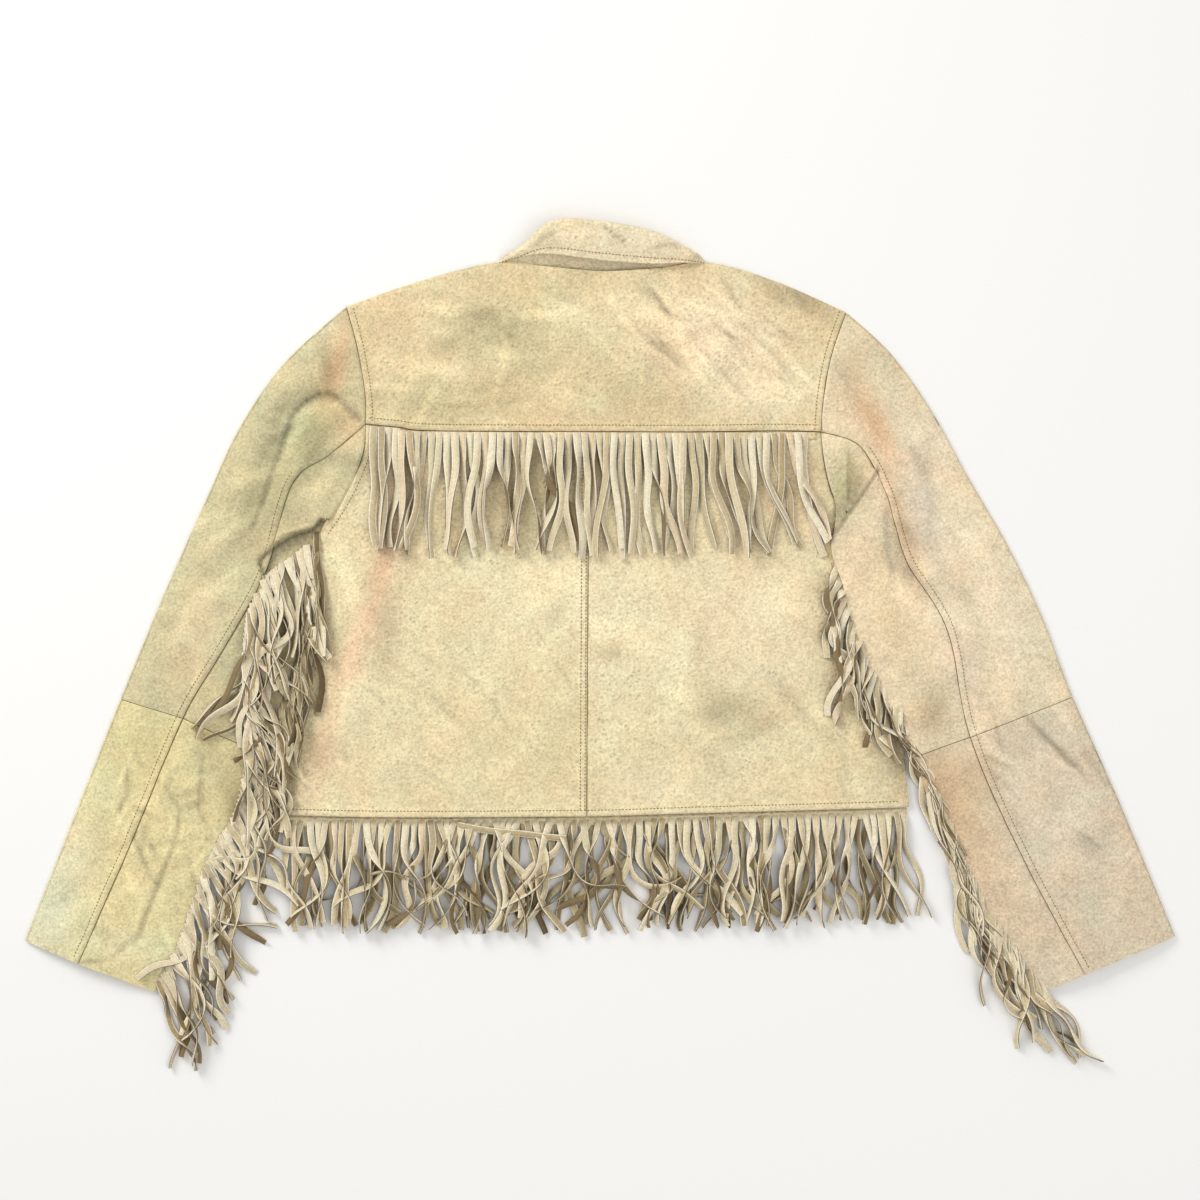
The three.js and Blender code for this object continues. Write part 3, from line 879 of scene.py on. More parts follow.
BACK_DYE_AND_SHADE = DyeAndShade(
    "E3D5AD",
    stains_and_shade(
        # Painted shadow: a dark band under the yoke's fringe, and a darker patch under its strips.
        (-10, 173, 200, 22, 0, "7F6D50", 0.7),
        (-72, 140, 30, 26, 0, "8A7858", 0.6),
        # Painted shadow: dark lines along the right side edge, beside the sleeve.
        (224, 66, 8, 44, 0, "6F5D42", 0.8),
        (244, -6, 9, 44, 14, "6F5D42", 0.8),
        (264, -80, 9, 44, 12, "6F5D42", 0.75),
        # Painted shadow: a dark line along the left side edge, beside the sleeve.
        (-266, 40, 7, 60, -4, "8A7856", 0.5),
        (-193, 90, 13, 62, -10, "CFA283", 0.62),
        (-222, 0, 14, 52, -20, "CFA487", 0.6),
        (-250, -92, 13, 42, -16, "D2AB8C", 0.5),
        (-180, 180, 26, 30, 0, "D8B28E", 0.5),
        (-238, 70, 14, 60, 0, "D6CDA2", 0.45),
        (-262, -60, 12, 60, -10, "D9CFA6", 0.4),
        (-100, -60, 60, 60, 0, "E2D2A6", 0.4),
        (-36, -70, 26, 80, 0, "CFC69B", 0.5),
        (0, 40, 90, 70, 0, "EFE2BC", 0.55),
        (144, 30, 80, 70, 0, "F1DFBC", 0.6),
        (212, 10, 20, 80, 8, "C4B891", 0.62),
        (236, -96, 30, 34, 0, "CDBD98", 0.5),
        (120, -50, 50, 20, -10, "CFC097", 0.45),
        (60, -120, 90, 20, 0, "E8D2AE", 0.4),
        (-140, -126, 80, 14, 0, "DCCBA0", 0.4),
        (170, 150, 34, 30, 0, "E4C9A0", 0.5),
    ),
)
LEFT_DYE_AND_SHADE = DyeAndShade(
    "CEC49C",
    stains_and_shade(
        # Painted shadow: dark patches in the gap between the sleeve's underarm edge and the body.
        (-284, 40, 24, 50, -8, "6F5D42", 0.72),
        (-300, -40, 18, 50, 10, "75644A", 0.6),
        (-286, 92, 14, 7, 20, "E4D8B4", 0.7),
        (-236, 262, 13, 58, -12, "CB9A70", 0.6),
        (-226, 204, 16, 20, 0, "DDB48B", 0.45),
        (-262, 196, 24, 36, -20, "BFBD8B", 0.6),
        (-298, 160, 36, 22, 30, "C6C194", 0.5),
        (-250, 290, 24, 18, 0, "E2D3AC", 0.5),
        (-310, 110, 40, 34, 0, "D3C9A0", 0.4),
        (-360, 20, 26, 44, -20, "D0B896", 0.5),
        (-300, 130, 26, 44, -30, "A9A27C", 0.6),
        (-344, 70, 16, 50, -30, "C2B892", 0.5),
        (-330, -20, 24, 50, -10, "C9C79F", 0.4),
        (-280, 80, 20, 26, 0, "DFD0A2", 0.5),
    ),
)
LEFT_LOW_DYE_AND_SHADE = DyeAndShade(
    "DFD3A2",
    stains_and_shade(
        # Painted shadow: a dark line along the underarm edge, beside the gap to the body.
        (-330, -130, 16, 50, 20, "7C6B4E", 0.55),
        (-414, -84, 44, 36, -20, "CBBB87", 0.6),
        (-452, -170, 20, 80, -20, "D0C497", 0.4),
        (-497, -240, 26, 90, -20, "DAD9BD", 0.7),
        (-396, -180, 30, 40, 0, "E3D6A4", 0.5),
        (-350, -120, 24, 36, 0, "D4C99B", 0.5),
        (-430, -262, 50, 16, -10, "DBD7B4", 0.5),
    ),
)
RIGHT_DYE = DyeAndShade(
    "E4D4B3",
    stains_and_shade(
        (216, 148, 15, 34, -12, "B5B083", 0.75),
        (248, 206, 12, 46, 28, "D8A77B", 0.62),
        (272, 112, 10, 54, 16, "DBAF88", 0.55),
        (290, 132, 15, 50, 16, "C9BBB0", 0.5),
        (324, -6, 16, 60, 12, "D9C9B8", 0.45),
        (236, 270, 26, 30, 20, "E3D3AE", 0.5),
        (300, 190, 36, 26, 40, "EFE2C8", 0.5),
        (250, 50, 26, 50, 10, "EFD5AC", 0.5),
        (298, -50, 20, 24, 0, "C0AB88", 0.7),
        (262, 30, 10, 60, 14, "DDC69E", 0.5),
        (262, 262, 40, 16, -50, "CFBE9C", 0.6),
        (228, 250, 16, 30, 0, "C8A986", 0.5),
        (360, 40, 30, 60, 20, "EFE4CC", 0.4),
    ),
)
RIGHT_LOW_DYE = DyeAndShade(
    "D8C8AD",
    stains_and_shade(
        (300, -116, 14, 50, 24, "A5906F", 0.6),
        (318, -128, 26, 60, 24, "D4B48C", 0.7),
        (352, -210, 26, 60, 24, "DAC2A0", 0.55),
        (340, -110, 20, 26, 0, "C6AE8C", 0.5),
        (420, -150, 40, 60, 10, "E0D2BA", 0.5),
        (384, -66, 50, 16, -20, "CBBDA4", 0.5),
        (455, -250, 50, 26, 10, "D2C8AE", 0.5),
        (416, -200, 2.2, 2.2, 0, "6D5A3C", 0.9),
    ),
)
COLLAR_DYE = DyeAndShade(
    "E8DAB8",
    stains_and_shade(
        (60, 372, 30, 14, 0, "EBDDBE", 0.5),
        (-60, 370, 26, 14, 20, "CFC29B", 0.4),
        (-20, 385, 40, 7, 0, "D9CAA2", 0.4),
    ),
)


# --- Making pieces --------------------------------------------------------------------------------------


def shell(
    name: str, top: np.ndarray, under: np.ndarray, dye: DyeAndShade, material: bpy.types.Material
) -> bpy.types.Object:
    """The closed wall between two grids of points that match.

    Args:
        name: The piece's name.
        top: Its outer surface in millimetres, rows by columns.
        under: Its inner surface, the same.
        dye: Its colours.
        material: Its finish.

    Returns:
        The piece.
    """
    rows, columns = top.shape[:2]
    index = np.arange(rows * columns).reshape(rows, columns)
    below = index + rows * columns
    a, b, c, d = index[:-1, :-1], index[1:, :-1], index[1:, 1:], index[:-1, 1:]
    faces = [np.stack([a, b, c, d], -1).reshape(-1, 4)]
    faces.append(np.stack([a, d, c, b], -1).reshape(-1, 4) + rows * columns)
    rim = np.concatenate([index[:-1, 0], index[-1, :-1], index[:0:-1, -1], index[0, :0:-1]])
    ring = np.stack([rim, np.roll(rim, -1)], -1)
    faces.append(np.stack([ring[:, 1], ring[:, 0], ring[:, 0] + below[0, 0], ring[:, 1] + below[0, 0]], -1))
    points = np.vstack([top.reshape(-1, 3), under.reshape(-1, 3)])
    mesh = bpy.data.meshes.new(name)
    mesh.from_pydata((points * MM).tolist(), [], np.vstack(faces).tolist())
    work = bmesh.new()
    work.from_mesh(mesh)
    bmesh.ops.recalc_face_normals(work, faces=work.faces)
    work.to_mesh(mesh)
    work.free()
    mesh.shade_smooth()
    dye.paint(mesh, points)
    mesh.materials.append(material)
    piece = bpy.data.objects.new(name, mesh)
    bpy.context.scene.collection.objects.link(piece)
    return piece


def own(piece: bpy.types.Object, slot: str, *nodes: str) -> None:
    """Says what a piece rides on and stands for.

    Args:
        piece: The piece.
        slot: Not used.
        nodes: The part's own nodes that it stands for.
    """
    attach(piece, "root")
    if nodes:
        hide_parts(*nodes)
    log.info("%s: %d faces", piece.name, len(piece.data.polygons))


def realise(
    name: str, curve: bpy.types.Curve, tree: bpy.types.NodeTree, inputs: dict[str, object]
) -> bpy.types.Object:
    """Turns lines into a plain mesh by way of a Geometry Nodes tree.

    Args:
        name: The piece's name.
        curve: The lines.
        tree: The tree.
        inputs: A value for each of the tree's named inputs.

    Returns:
        The piece.
    """
    lines = bpy.data.objects.new(name + "_lines", curve)
    bpy.context.scene.collection.objects.link(lines)
    modifier = lines.modifiers.new(tree.name, "NODES")
    modifier.node_group = tree
    sockets = {item.name: item.identifier for item in tree.interface.items_tree if item.in_out == "INPUT"}
    for key, value in inputs.items():
        modifier[sockets[key]] = value
    bpy.context.view_layer.update()
    ready = bpy.context.evaluated_depsgraph_get()
    mesh = bpy.data.meshes.new_from_object(lines.evaluated_get(ready), depsgraph=ready)
    mesh.name = name
    lines.modifiers.remove(modifier)
    bpy.data.objects.remove(lines)
    piece = bpy.data.objects.new(name, mesh)
    bpy.context.scene.collection.objects.link(piece)
    return piece


@dataclass
class Finishes:
    """Every material on the jacket and under it."""

    body: bpy.types.Material = field(init=False)
    sleeve: bpy.types.Material = field(init=False)
    strips: bpy.types.Material = field(init=False)
    shaded_strips: bpy.types.Material = field(init=False)
    thread: bpy.types.Material = field(init=False)
    table: bpy.types.Material = field(init=False)

    def __post_init__(self) -> None:
        """Builds them all."""
        # Dull buff, with fine dark pores: it makes the back read as pigskin and not as cloth.
        self.body = Suede("napped pigskin suede", pore_depth=1.0).material()
        # The same with few pores, so the sleeves look softer and more rubbed.
        self.sleeve = Suede("brushed sleeve suede", pore_depth=0.35).material()
        # A tone to each strip, pale cut edges with a painted highlight and darker sides with painted shade, so
        # that every strip stands apart from the next.
        self.strips = CutStrip(
            "cut suede strips",
            tuple("C6B288 E4D5AE EFE3C2 D3BF97 EBDDBA B7A178 D8CCA6 E2CBA6 ECE0C0 A38E67".split()),
        ).material()
        # Darker, as in the shade of what lies above: it gives the fringe its depth.
        self.shaded_strips = CutStrip(
            "cut suede strips beneath",
            tuple("8E7A55 B7A57C A0906A C6B68E 7E6C4B B9AA86".split()),
            raw_edge_and_highlight="D9CCA8",
            flesh_side_and_shade="6B593D",
        ).material()
        # A brown dotted line beside the seams.
        self.thread = Plain("waxed sewing thread", "8E7B50").material()
        # Bright and even, so that the jacket's edge is clear all round.
        self.table = Plain("white table", "F7F6F3", 0.7).material()


@dataclass(frozen=True)
class Cut:
    """A finished piece of suede, and the flat size in metres that it was cut to."""

    piece: bpy.types.Object
    width: float
    length: float
    area: float


def sew(
    name: str, slot: str, top: np.ndarray, under: np.ndarray, dye: DyeAndShade, material: bpy.types.Material
) -> Cut:
    """Makes a piece of suede that stands for the node of its name.

    Args:
        name: The node's name.
        slot: Not used.
        top: Its outer surface in millimetres, rows by columns.
        under: Its inner surface, the same.
        dye: Its colours.
        material: Its finish.

    Returns:
        The piece and what it was cut to, which is its outer surface laid out.
    """
    piece = shell(name + "_suede", top, under, dye, material)
    own(piece, slot, name)
    across = np.linalg.norm(np.diff(top, axis=1), axis=-1).sum(1).max() * MM
    down = np.linalg.norm(np.diff(top, axis=0), axis=-1).sum(0).max() * MM
    d1, d2 = top[1:, 1:] - top[:-1, :-1], top[1:, :-1] - top[:-1, 1:]
    area = 0.5 * np.linalg.norm(np.cross(d1, d2), axis=-1).sum() * MM * MM
    return Cut(piece, float(across), float(down), float(min(area, across * down)))


@dataclass
class Panel:
    """One flat piece of the body."""

    name: str
    plan: np.ndarray
    bottom: Callable[[np.ndarray], np.ndarray]
    dye: DyeAndShade
    bands: tuple[Points, ...] = ()
    butts: tuple[Points, ...] = ()
    creased: bool = True
    deepest: float = -0.9  # the lowest that relief takes the upper side
    under_deepest: float = -0.4
    under_share: float = 0.6  # how much of the relief the underside follows
    calm: tuple[float, float] = (4.0, 40.0)  # how far from the edge swells start, and are whole

    def build(self, material: bpy.types.Material) -> Cut:
        """Makes the panel.

        Args:
            material: Its finish.

        Returns:
            The panel and what it was cut to.
        """
        plan = drawn_in(self.plan)
        low = self.bottom(plan)
        relief = np.zeros(low.shape)
        for line in self.bands:
            relief += band(distance(plan, trace(line, 8)))
        for line in self.butts:
            relief += butt(distance(plan, trace(line, 8)))
        if self.creased:
            relief += kept_creases(plan) + swell(plan) * smooth(distance(plan, OUTLINE), *self.calm)
        top = np.dstack([plan, low + HIDE + np.maximum(relief, self.deepest)])
        under = np.dstack([plan, low + np.clip(relief, self.under_deepest, None) * self.under_share])
        return sew(self.name, "suede", top, under, self.dye, material)


def chain(*lines: np.ndarray) -> np.ndarray:
    """Several lines in a row as one, with no point twice."""
    return np.vstack([lines[0], *(line[1:] for line in lines[1:])])


# The body's edge all round, from the left shoulder.
OUTLINE = chain(
    *(
        trace(line, 8)
        for line in (
            LEFT_SHOULDER[::-1],
            LEFT_CAP,
            LEFT_UNDERARM,
            LEFT_SIDE,
            HEM_LEFT,
            HEM_RIGHT,
            RIGHT_SIDE[::-1],
            RIGHT_UNDERARM[::-1],
            RIGHT_CAP[::-1],
            RIGHT_SHOULDER[::-1],
        )
    )
)


@dataclass(frozen=True)
class Section:
    """Where a sleeve's outer fold, its back seam and its underarm edge are."""

    fold_x: float
    fold_y: float
    seam_x: float
    seam_y: float
    inner_x: float
    inner_y: float


LEFT_SECTIONS = tuple(
    Section(*row)
    for row in (
        (-228, 312, -210, 206, -252, 106),
        (-283, 262, -243, 178, -260, 88),
        (-324, 203, -276, 152, -264, 55),
        (-356, 134, -301, 71, -268, 14),
        (-392, 53, -338, 3, -284, -36),
        (-431, -41, -374, -58, -300, -92),
        (-472, -145, -421, -171, -345, -191),
        (-517, -258, -468, -278, -400, -304),
    )
)
RIGHT_SECTIONS = tuple(
    Section(*row)
    for row in (
        (221, 307, 198, 199, 222, 127),
        (261, 270, 233, 186, 210, 110),
        (298, 218, 256, 145, 207, 92),
        (330, 160, 264, 116, 217, 62),
        (366, 98, 276, 80, 225, 30),
        (397, 34, 311, 22, 243, -18),
        (425, -39, 332, -75, 281, -93),
        (468, -136, 376, -177, 322, -208),
        (517, -254, 435, -288, 394, -306),
    )
)


def part_of(sections: Sequence[Section], part: str) -> Points:
    """One of a sleeve's lines, such as its fold."""
    return tuple((getattr(s, part + "_x"), getattr(s, part + "_y")) for s in sections)


BODY_EDGES = tuple(
    trace(line, 8)
    for line in (
        LEFT_SHOULDER,
        RIGHT_SHOULDER,
        LEFT_SIDE,
        RIGHT_SIDE,
        part_of(LEFT_SECTIONS, "fold"),
        part_of(RIGHT_SECTIONS, "fold"),
    )
)


def front_top(at: np.ndarray) -> np.ndarray:
    """The height of the fronts' upper side."""
    return collar_rise(at) + overlap_rise(at) + HIDE


def back_bottom(at: np.ndarray) -> np.ndarray:
    """The height of the underside of the yoke and the back panels."""
    return front_top(at) + parting(at, BODY_EDGES, BODY_LOFT)


@dataclass
class Body:
    """The yoke, the two back panels and the two fronts beneath them."""

    step: float = 2.8  # spacing of the back's points
    front_step: float = 12.0
    yoke_depth: float = 118.0
    half_width: float = 200.0
    side_length: float = 360.0
    front_width: float = 260.0
    front_length: float = 480.0
    pieces: dict[str, Cut] = field(default_factory=dict)

    def build(self, finishes: Finishes) -> None:
        """Makes every panel of the body.

        Args:
            finishes: The materials.
        """
        for panel in (*self._back(), *self._fronts()):
            self.pieces[panel.name] = panel.build(finishes.body)

    def _back(self) -> list[Panel]:
        """Lays out the yoke and the back panels.

        Returns:
            The three panels.
        """
        down = graded(self.yoke_depth, self.step)
        half = graded(self.half_width, self.step)
        cap_l, cap_r = along(LEFT_CAP, down), along(RIGHT_CAP, down)
        yoke_l, yoke_r = along(YOKE_LEFT, half), along(YOKE_RIGHT, half)
        ends = trace((*LEFT_SHOULDER, *BACK_NECK[1:], *RIGHT_SHOULDER[1:]))
        seam = chain(yoke_l, yoke_r)
        far = lengths(ends)
        share = lengths(seam) / lengths(seam)[-1]
        top = np.column_stack([np.interp(share * far[-1], far, column) for column in ends.T])
        yoke = Panel(
            "back_yoke",
            panel_plan(top, seam, cap_l, cap_r),
            lambda at: back_bottom(at) + 1.5 * (1 - smooth(distance(at, YOKE_LINE), 2, 16)),
            YOKE_DYE,
            bands=(YOKE, LEFT_CAP, RIGHT_CAP),
            butts=(BACK_NECK, LEFT_SHOULDER, RIGHT_SHOULDER),
        )
        left_edge = self._down(LEFT_UNDERARM, LEFT_SIDE)
        right_edge = self._down(RIGHT_UNDERARM, RIGHT_SIDE)
        share = lengths(left_edge) / lengths(left_edge)[-1]
        centre = along(CENTRE_BACK, share)
        left = Panel(
            "back_left",
            panel_plan(yoke_l, along(HEM_LEFT, half), left_edge, centre),
            back_bottom,
            BACK_DYE_AND_SHADE,
            bands=(CENTRE_BACK, HEM_LEFT, LEFT_UNDERARM),
            butts=(YOKE_LEFT,),
        )
        right = Panel(
            "back_right",
            panel_plan(yoke_r, along(HEM_RIGHT, half), along(CENTRE_BACK, share), right_edge),
            back_bottom,
            BACK_DYE_AND_SHADE,
            bands=(HEM_RIGHT, RIGHT_UNDERARM),
            butts=(CENTRE_BACK, YOKE_RIGHT),
        )
        return [yoke, left, right]

    def _down(self, underarm: Points, side: Points) -> np.ndarray:
        """A back panel's outer edge, from the yoke to the hem."""
        return along((*underarm, *side[1:]), graded(self.side_length, self.step))

    def _fronts(self) -> list[Panel]:
        """Lays out the two fronts, which lie on the table, the left one over the right.

        Returns:
            The two panels.
        """
        made = []
        across = graded(self.front_width, self.front_step)
        down = graded(self.front_length, self.front_step)
        for side, shoulder, cap, underarm, edge in (
            (Side.LEFT, LEFT_SHOULDER, LEFT_CAP, LEFT_UNDERARM, LEFT_SIDE),
            (Side.RIGHT, RIGHT_SHOULDER, RIGHT_CAP, RIGHT_UNDERARM, RIGHT_SIDE),
        ):
            sign, neck_x = (-1, -90) if side is Side.LEFT else (1, 99)
            front_x = CENTRE_X - sign * OVERLAP
            corner = (front_x, -146)
            curve = ((neck_x, 351), (sign * 66 + 2, 316), (sign * 34 + 2, 293), (front_x, 285))
            neck = (*curve, (front_x, 60), corner)
            outer, inner = along((*cap, *underarm[1:], *edge[1:]), down), along(neck, down)
            if side is Side.LEFT:
                hem = along((edge[-1], corner), across)
                plan = panel_plan(along(shoulder, across), hem, outer, inner)
                low = lambda at: collar_rise(at) + overlap_rise(at)
            else:
                hem = along((corner, edge[-1]), across)
                plan = panel_plan(along(shoulder, across), hem, inner, outer)
                low = collar_rise
            made.append(Panel(f"front_{side.value}", plan, low, BACK_DYE_AND_SHADE, creased=False))
        return made


YOKE_LINE = trace(YOKE, 8)


@dataclass
class Sleeve:
    """One sleeve: a top sleeve that folds round the outer edge, and an under sleeve that closes it."""

    side: Side
    sections: tuple[Section, ...]
    cap: Points
    underarm: Points
    elbow: int
    flap: Points
    upper_dye: DyeAndShade
    lower_dye: DyeAndShade
    step: float = 3.0  # spacing of its points
    length: float = 600.0
    top_width: float = 102.0  # from the outer fold to the back seam
    under_width: float = 86.0  # from the back seam to the underarm
    turn_steps: int = 8  # round the outer fold
    leaves_body: tuple[float, float] = (142.0, 196.0)  # Y where it lies on the back, and where it doesn't
    leaves_hem: tuple[float, float] = (-158.0, -112.0)
    clearance: float = 2.2  # above the back
    least_rise: float = 6.0
    slope: tuple[float, float] = (2.0, 46.0)  # past the side seam, down to the table
    lowest: float = -1.6  # the deepest that seams and creases go
    puff: float = 4.2  # how high the underarm stands beside its fold
    crest: float = 1.2
    pieces: dict[str, Cut] = field(default_factory=dict)

    def rest(self, at: np.ndarray) -> np.ndarray:
        """The height of what the sleeve lies on: the table, or the body and a slope down from it.

        Args:
            at: The points, with x and y last.

        Returns:
            The height at each.
        """
        if self.side is Side.LEFT:
            return np.zeros(at.shape[:-1])
        x, y = at[..., 0], at[..., 1]
        line = trace(RIGHT_SIDE)[::-1]
        edge_x = np.interp(y, line[:, 1], line[:, 0])
        away = np.where(x > edge_x, distance(at, line), 0)
        raised = (1 - smooth(y, *self.leaves_body)) * smooth(y, *self.leaves_hem)
        high = np.maximum(back_bottom(at) + HIDE + self.clearance, self.least_rise)
        return raised * high * (1 - smooth(away, *self.slope))

    def edges(self) -> tuple[np.ndarray, ...]:
        """The lines where the sleeve's two layers are joined.

        Returns:
            The outer fold, the underarm edge and the body's own edges beside it.
        """
        body = (LEFT_SHOULDER, LEFT_SIDE) if self.side is Side.LEFT else (RIGHT_SHOULDER,)
        lines = (part_of(self.sections, "fold"), part_of(self.sections, "inner"), *body)
        return tuple(trace(line, 8) for line in lines)

    def top(self, at: np.ndarray) -> np.ndarray:
        """The height of the sleeve's upper side, before its seams and creases."""
        return self.rest(at) + 2 * HIDE + parting(at, self.edges(), SLEEVE_LOFT)

    def relief(self, at: np.ndarray, is_top_sleeve: bool) -> np.ndarray:
        """Seams, creases and the fold at the underarm.

        Args:
            at: The points, with x and y last.
            is_top_sleeve: Whether the points are on the top sleeve.

        Returns:
            The height to add at each.
        """
        seam = distance(at, trace(part_of(self.sections, "seam")))
        elbow = self.sections[self.elbow]
        across = ((elbow.fold_x, elbow.fold_y), (elbow.seam_x, elbow.seam_y), (elbow.inner_x, elbow.inner_y))
        made = band(seam) if is_top_sleeve else butt(seam)
        made = made + 0.8 * butt(distance(at, trace(across)))
        made = made + butt(distance(at, trace((*self.cap, *self.underarm[1:]), 8)))
        edge_away = np.min([distance(at, line) for line in self.edges()[:2]], axis=0)
        made = made + kept_creases(at) + 1.3 * swell(at + 31) * smooth(edge_away, 3, 34)
        return np.maximum(made, self.lowest) + self._fold_over(at, is_top_sleeve)

    def _fold_over(self, at: np.ndarray, is_top_sleeve: bool) -> np.ndarray:
        """The step down past the line where the underarm folds over itself.

        Args:
            at: The points, with x and y last.
            is_top_sleeve: Whether the points are on the top sleeve, which has no such fold.

        Returns:
            The height to add at each.
        """
        if is_top_sleeve:
            return np.zeros(at.shape[:-1])
        line = trace(self.flap, 8)
        order = np.argsort(line[:, 1])
        edge_x = np.interp(at[..., 1], line[order, 1], line[order, 0])
        low, high = line[:, 1].min(), line[:, 1].max()
        away = distance(at, line)
        if self.side is Side.LEFT:
            inside = (at[..., 0] > edge_x) & (at[..., 1] < high) & (at[..., 1] > low - 30)
            ease = 1 - smooth(-at[..., 1], -low, 34 - low)
        else:
            inside = (at[..., 0] < edge_x) & (at[..., 1] < high + 20) & (at[..., 1] > low)
            ease = 1 - smooth(at[..., 1], high - 14, high + 20)
        puff = self.puff * np.exp(-((away / 12) ** 2)) + self.crest * np.exp(-((away / 4) ** 2))
        return np.where(inside, -FLAP_HEIGHT * smooth(away, 0, 1.6), puff) * ease

    def plan(self) -> tuple[np.ndarray, int, int]:
        """The sleeve's columns, seen from above, from its outer fold over the back seam to the underarm.

        Returns:
            The grid, the row of the elbow seam, and the column of the back seam.
        """
        count = len(self.sections) - 1
        over, under = graded(self.top_width, self.step), graded(self.under_width, self.step)
        bend = self.elbow / count
        first = graded(self.length * self.elbow / count, self.step) * self.elbow / count
        second = bend + graded(self.length * (1 - bend), self.step) * (1 - bend)
        rows = np.concatenate([first, second[1:]])
        fine = 24
        lines = {}
        for part in ("fold", "seam", "inner"):
            line = trace(part_of(self.sections, part), fine)
            at = rows * count * fine
            lines[part] = np.column_stack([np.interp(at, np.arange(len(line)), c) for c in line.T])
        settle = np.maximum(0, 1 - rows * count / 2)[:, None, None]

        def between(a: np.ndarray, b: np.ndarray, shares: np.ndarray, armhole: Points) -> np.ndarray:
            """Columns from one line to another that start on the armhole's curve.

            Args:
                a: The first line.
                b: The second.
                shares: Where each column is between them, from 0 to 1.
                armhole: The armhole's curve between the two.

            Returns:
                Rows of points.
            """
            curve = along(armhole, shares)
            bow = curve - (curve[:1] * (1 - shares[:, None]) + curve[-1:] * shares[:, None])
            s = shares[None, :, None]
            return a[:, None] * (1 - s) + b[:, None] * s + bow[None] * settle

        grid = np.concatenate(
            [
                between(lines["fold"], lines["seam"], over, self.cap),
                between(lines["seam"], lines["inner"], under, self.underarm)[:, 1:],
            ],
            axis=1,
        )
        return grid, len(first) - 1, len(over) - 1

    def build(self, finishes: Finishes) -> None:
        """Makes the sleeve's four pieces.

        Args:
            finishes: The materials.
        """
        plan, elbow_row, seam_column = self.plan()
        for half, rows, dye in (
            ("upper", plan[: elbow_row + 1], self.upper_dye),
            ("lower", plan[elbow_row:], self.lower_dye),
        ):
            under_plan = drawn_in(rows[:, seam_column:])
            high = self.top(under_plan) + self.relief(under_plan, False)
            low = np.minimum(high - HIDE, self.top(under_plan) - HIDE)
            low = np.maximum(low, self.rest(under_plan) + HIDE + 0.2)
            high = np.maximum(high, low + HIDE * 0.8)
            outer, inner = np.dstack([under_plan, high]), np.dstack([under_plan, low])
            self._finish(f"{half}_under", outer, inner, dye, finishes)
            self._build_top(half, drawn_in(rows), seam_column, dye, finishes)

    def _build_top(self, half: str, rows: np.ndarray, seam_column: int, dye: DyeAndShade, finishes: Finishes) -> None:
        """Makes a top sleeve: its upper layer, the turn at the outer fold and its lower layer.

        Args:
            half: Which half of the arm it is for.
            rows: The half's grid.
            seam_column: The column of the back seam.
            dye: Its colours.
            finishes: The materials.
        """
        over = rows[:, : seam_column + 1].copy()
        away = over[:, 0] - over[:, 6]
        away /= np.linalg.norm(away, axis=-1, keepdims=True)
        over[:, -1] += away * SEAM / 2
        reach = (2 * HIDE + GAP) / 2
        over[:, 0] -= away * reach
        high = self.top(over) + self.relief(over, True)
        high[:, 0] = self.top(over[:, :1])[:, 0]
        floor = self.rest(over[:, :1])[:, 0]
        outer, inner = [np.dstack([over, high])[:, ::-1]], [np.dstack([over, high - HIDE])[:, ::-1]]
        middle, radius = (high[:, 0] + floor) / 2, (high[:, 0] - floor) / 2
        for k in range(1, self.turn_steps):
            angle = math.pi / 2 - k * math.pi / self.turn_steps
            for made, r in ((outer, radius), (inner, np.maximum(radius - HIDE, 0.3))):
                level = over[:, 0] + away * (r * math.cos(angle))[:, None]
                made.append(np.column_stack([level, middle + r * math.sin(angle)])[:, None])
        columns = np.r_[0 : rows.shape[1] : 3, rows.shape[1] - 1]
        flat = rows[:, np.unique(columns)].copy()
        flat[:, 0] = over[:, 0]
        bed = self.rest(flat)
        outer.append(np.dstack([flat, bed]))
        inner.append(np.dstack([flat, bed + HIDE]))
        self._finish(f"{half}_top", np.concatenate(outer, 1), np.concatenate(inner, 1), dye, finishes)

    def _finish(self, part: str, top: np.ndarray, under: np.ndarray, dye: DyeAndShade, finishes: Finishes) -> None:
        """Makes one of the sleeve's pieces.

        Args:
            part: Which one.
            top: Its outer surface.
            under: Its inner surface.
            dye: Its colours.
            finishes: The materials.
        """
        name = f"sleeve_{self.side.value}_{part}"
        self.pieces[name] = sew(name, "sleeve_suede", top, under, dye, finishes.sleeve)


# --- Collar ---------------------------------------------------------------------------------------------


@dataclass(frozen=True)
class CollarSection:
    """Where the collar is sewn to the neck, where it turns over, and its free edge."""

    seam: tuple[float, float, float]
    fold: tuple[float, float, float]
    edge: tuple[float, float, float]


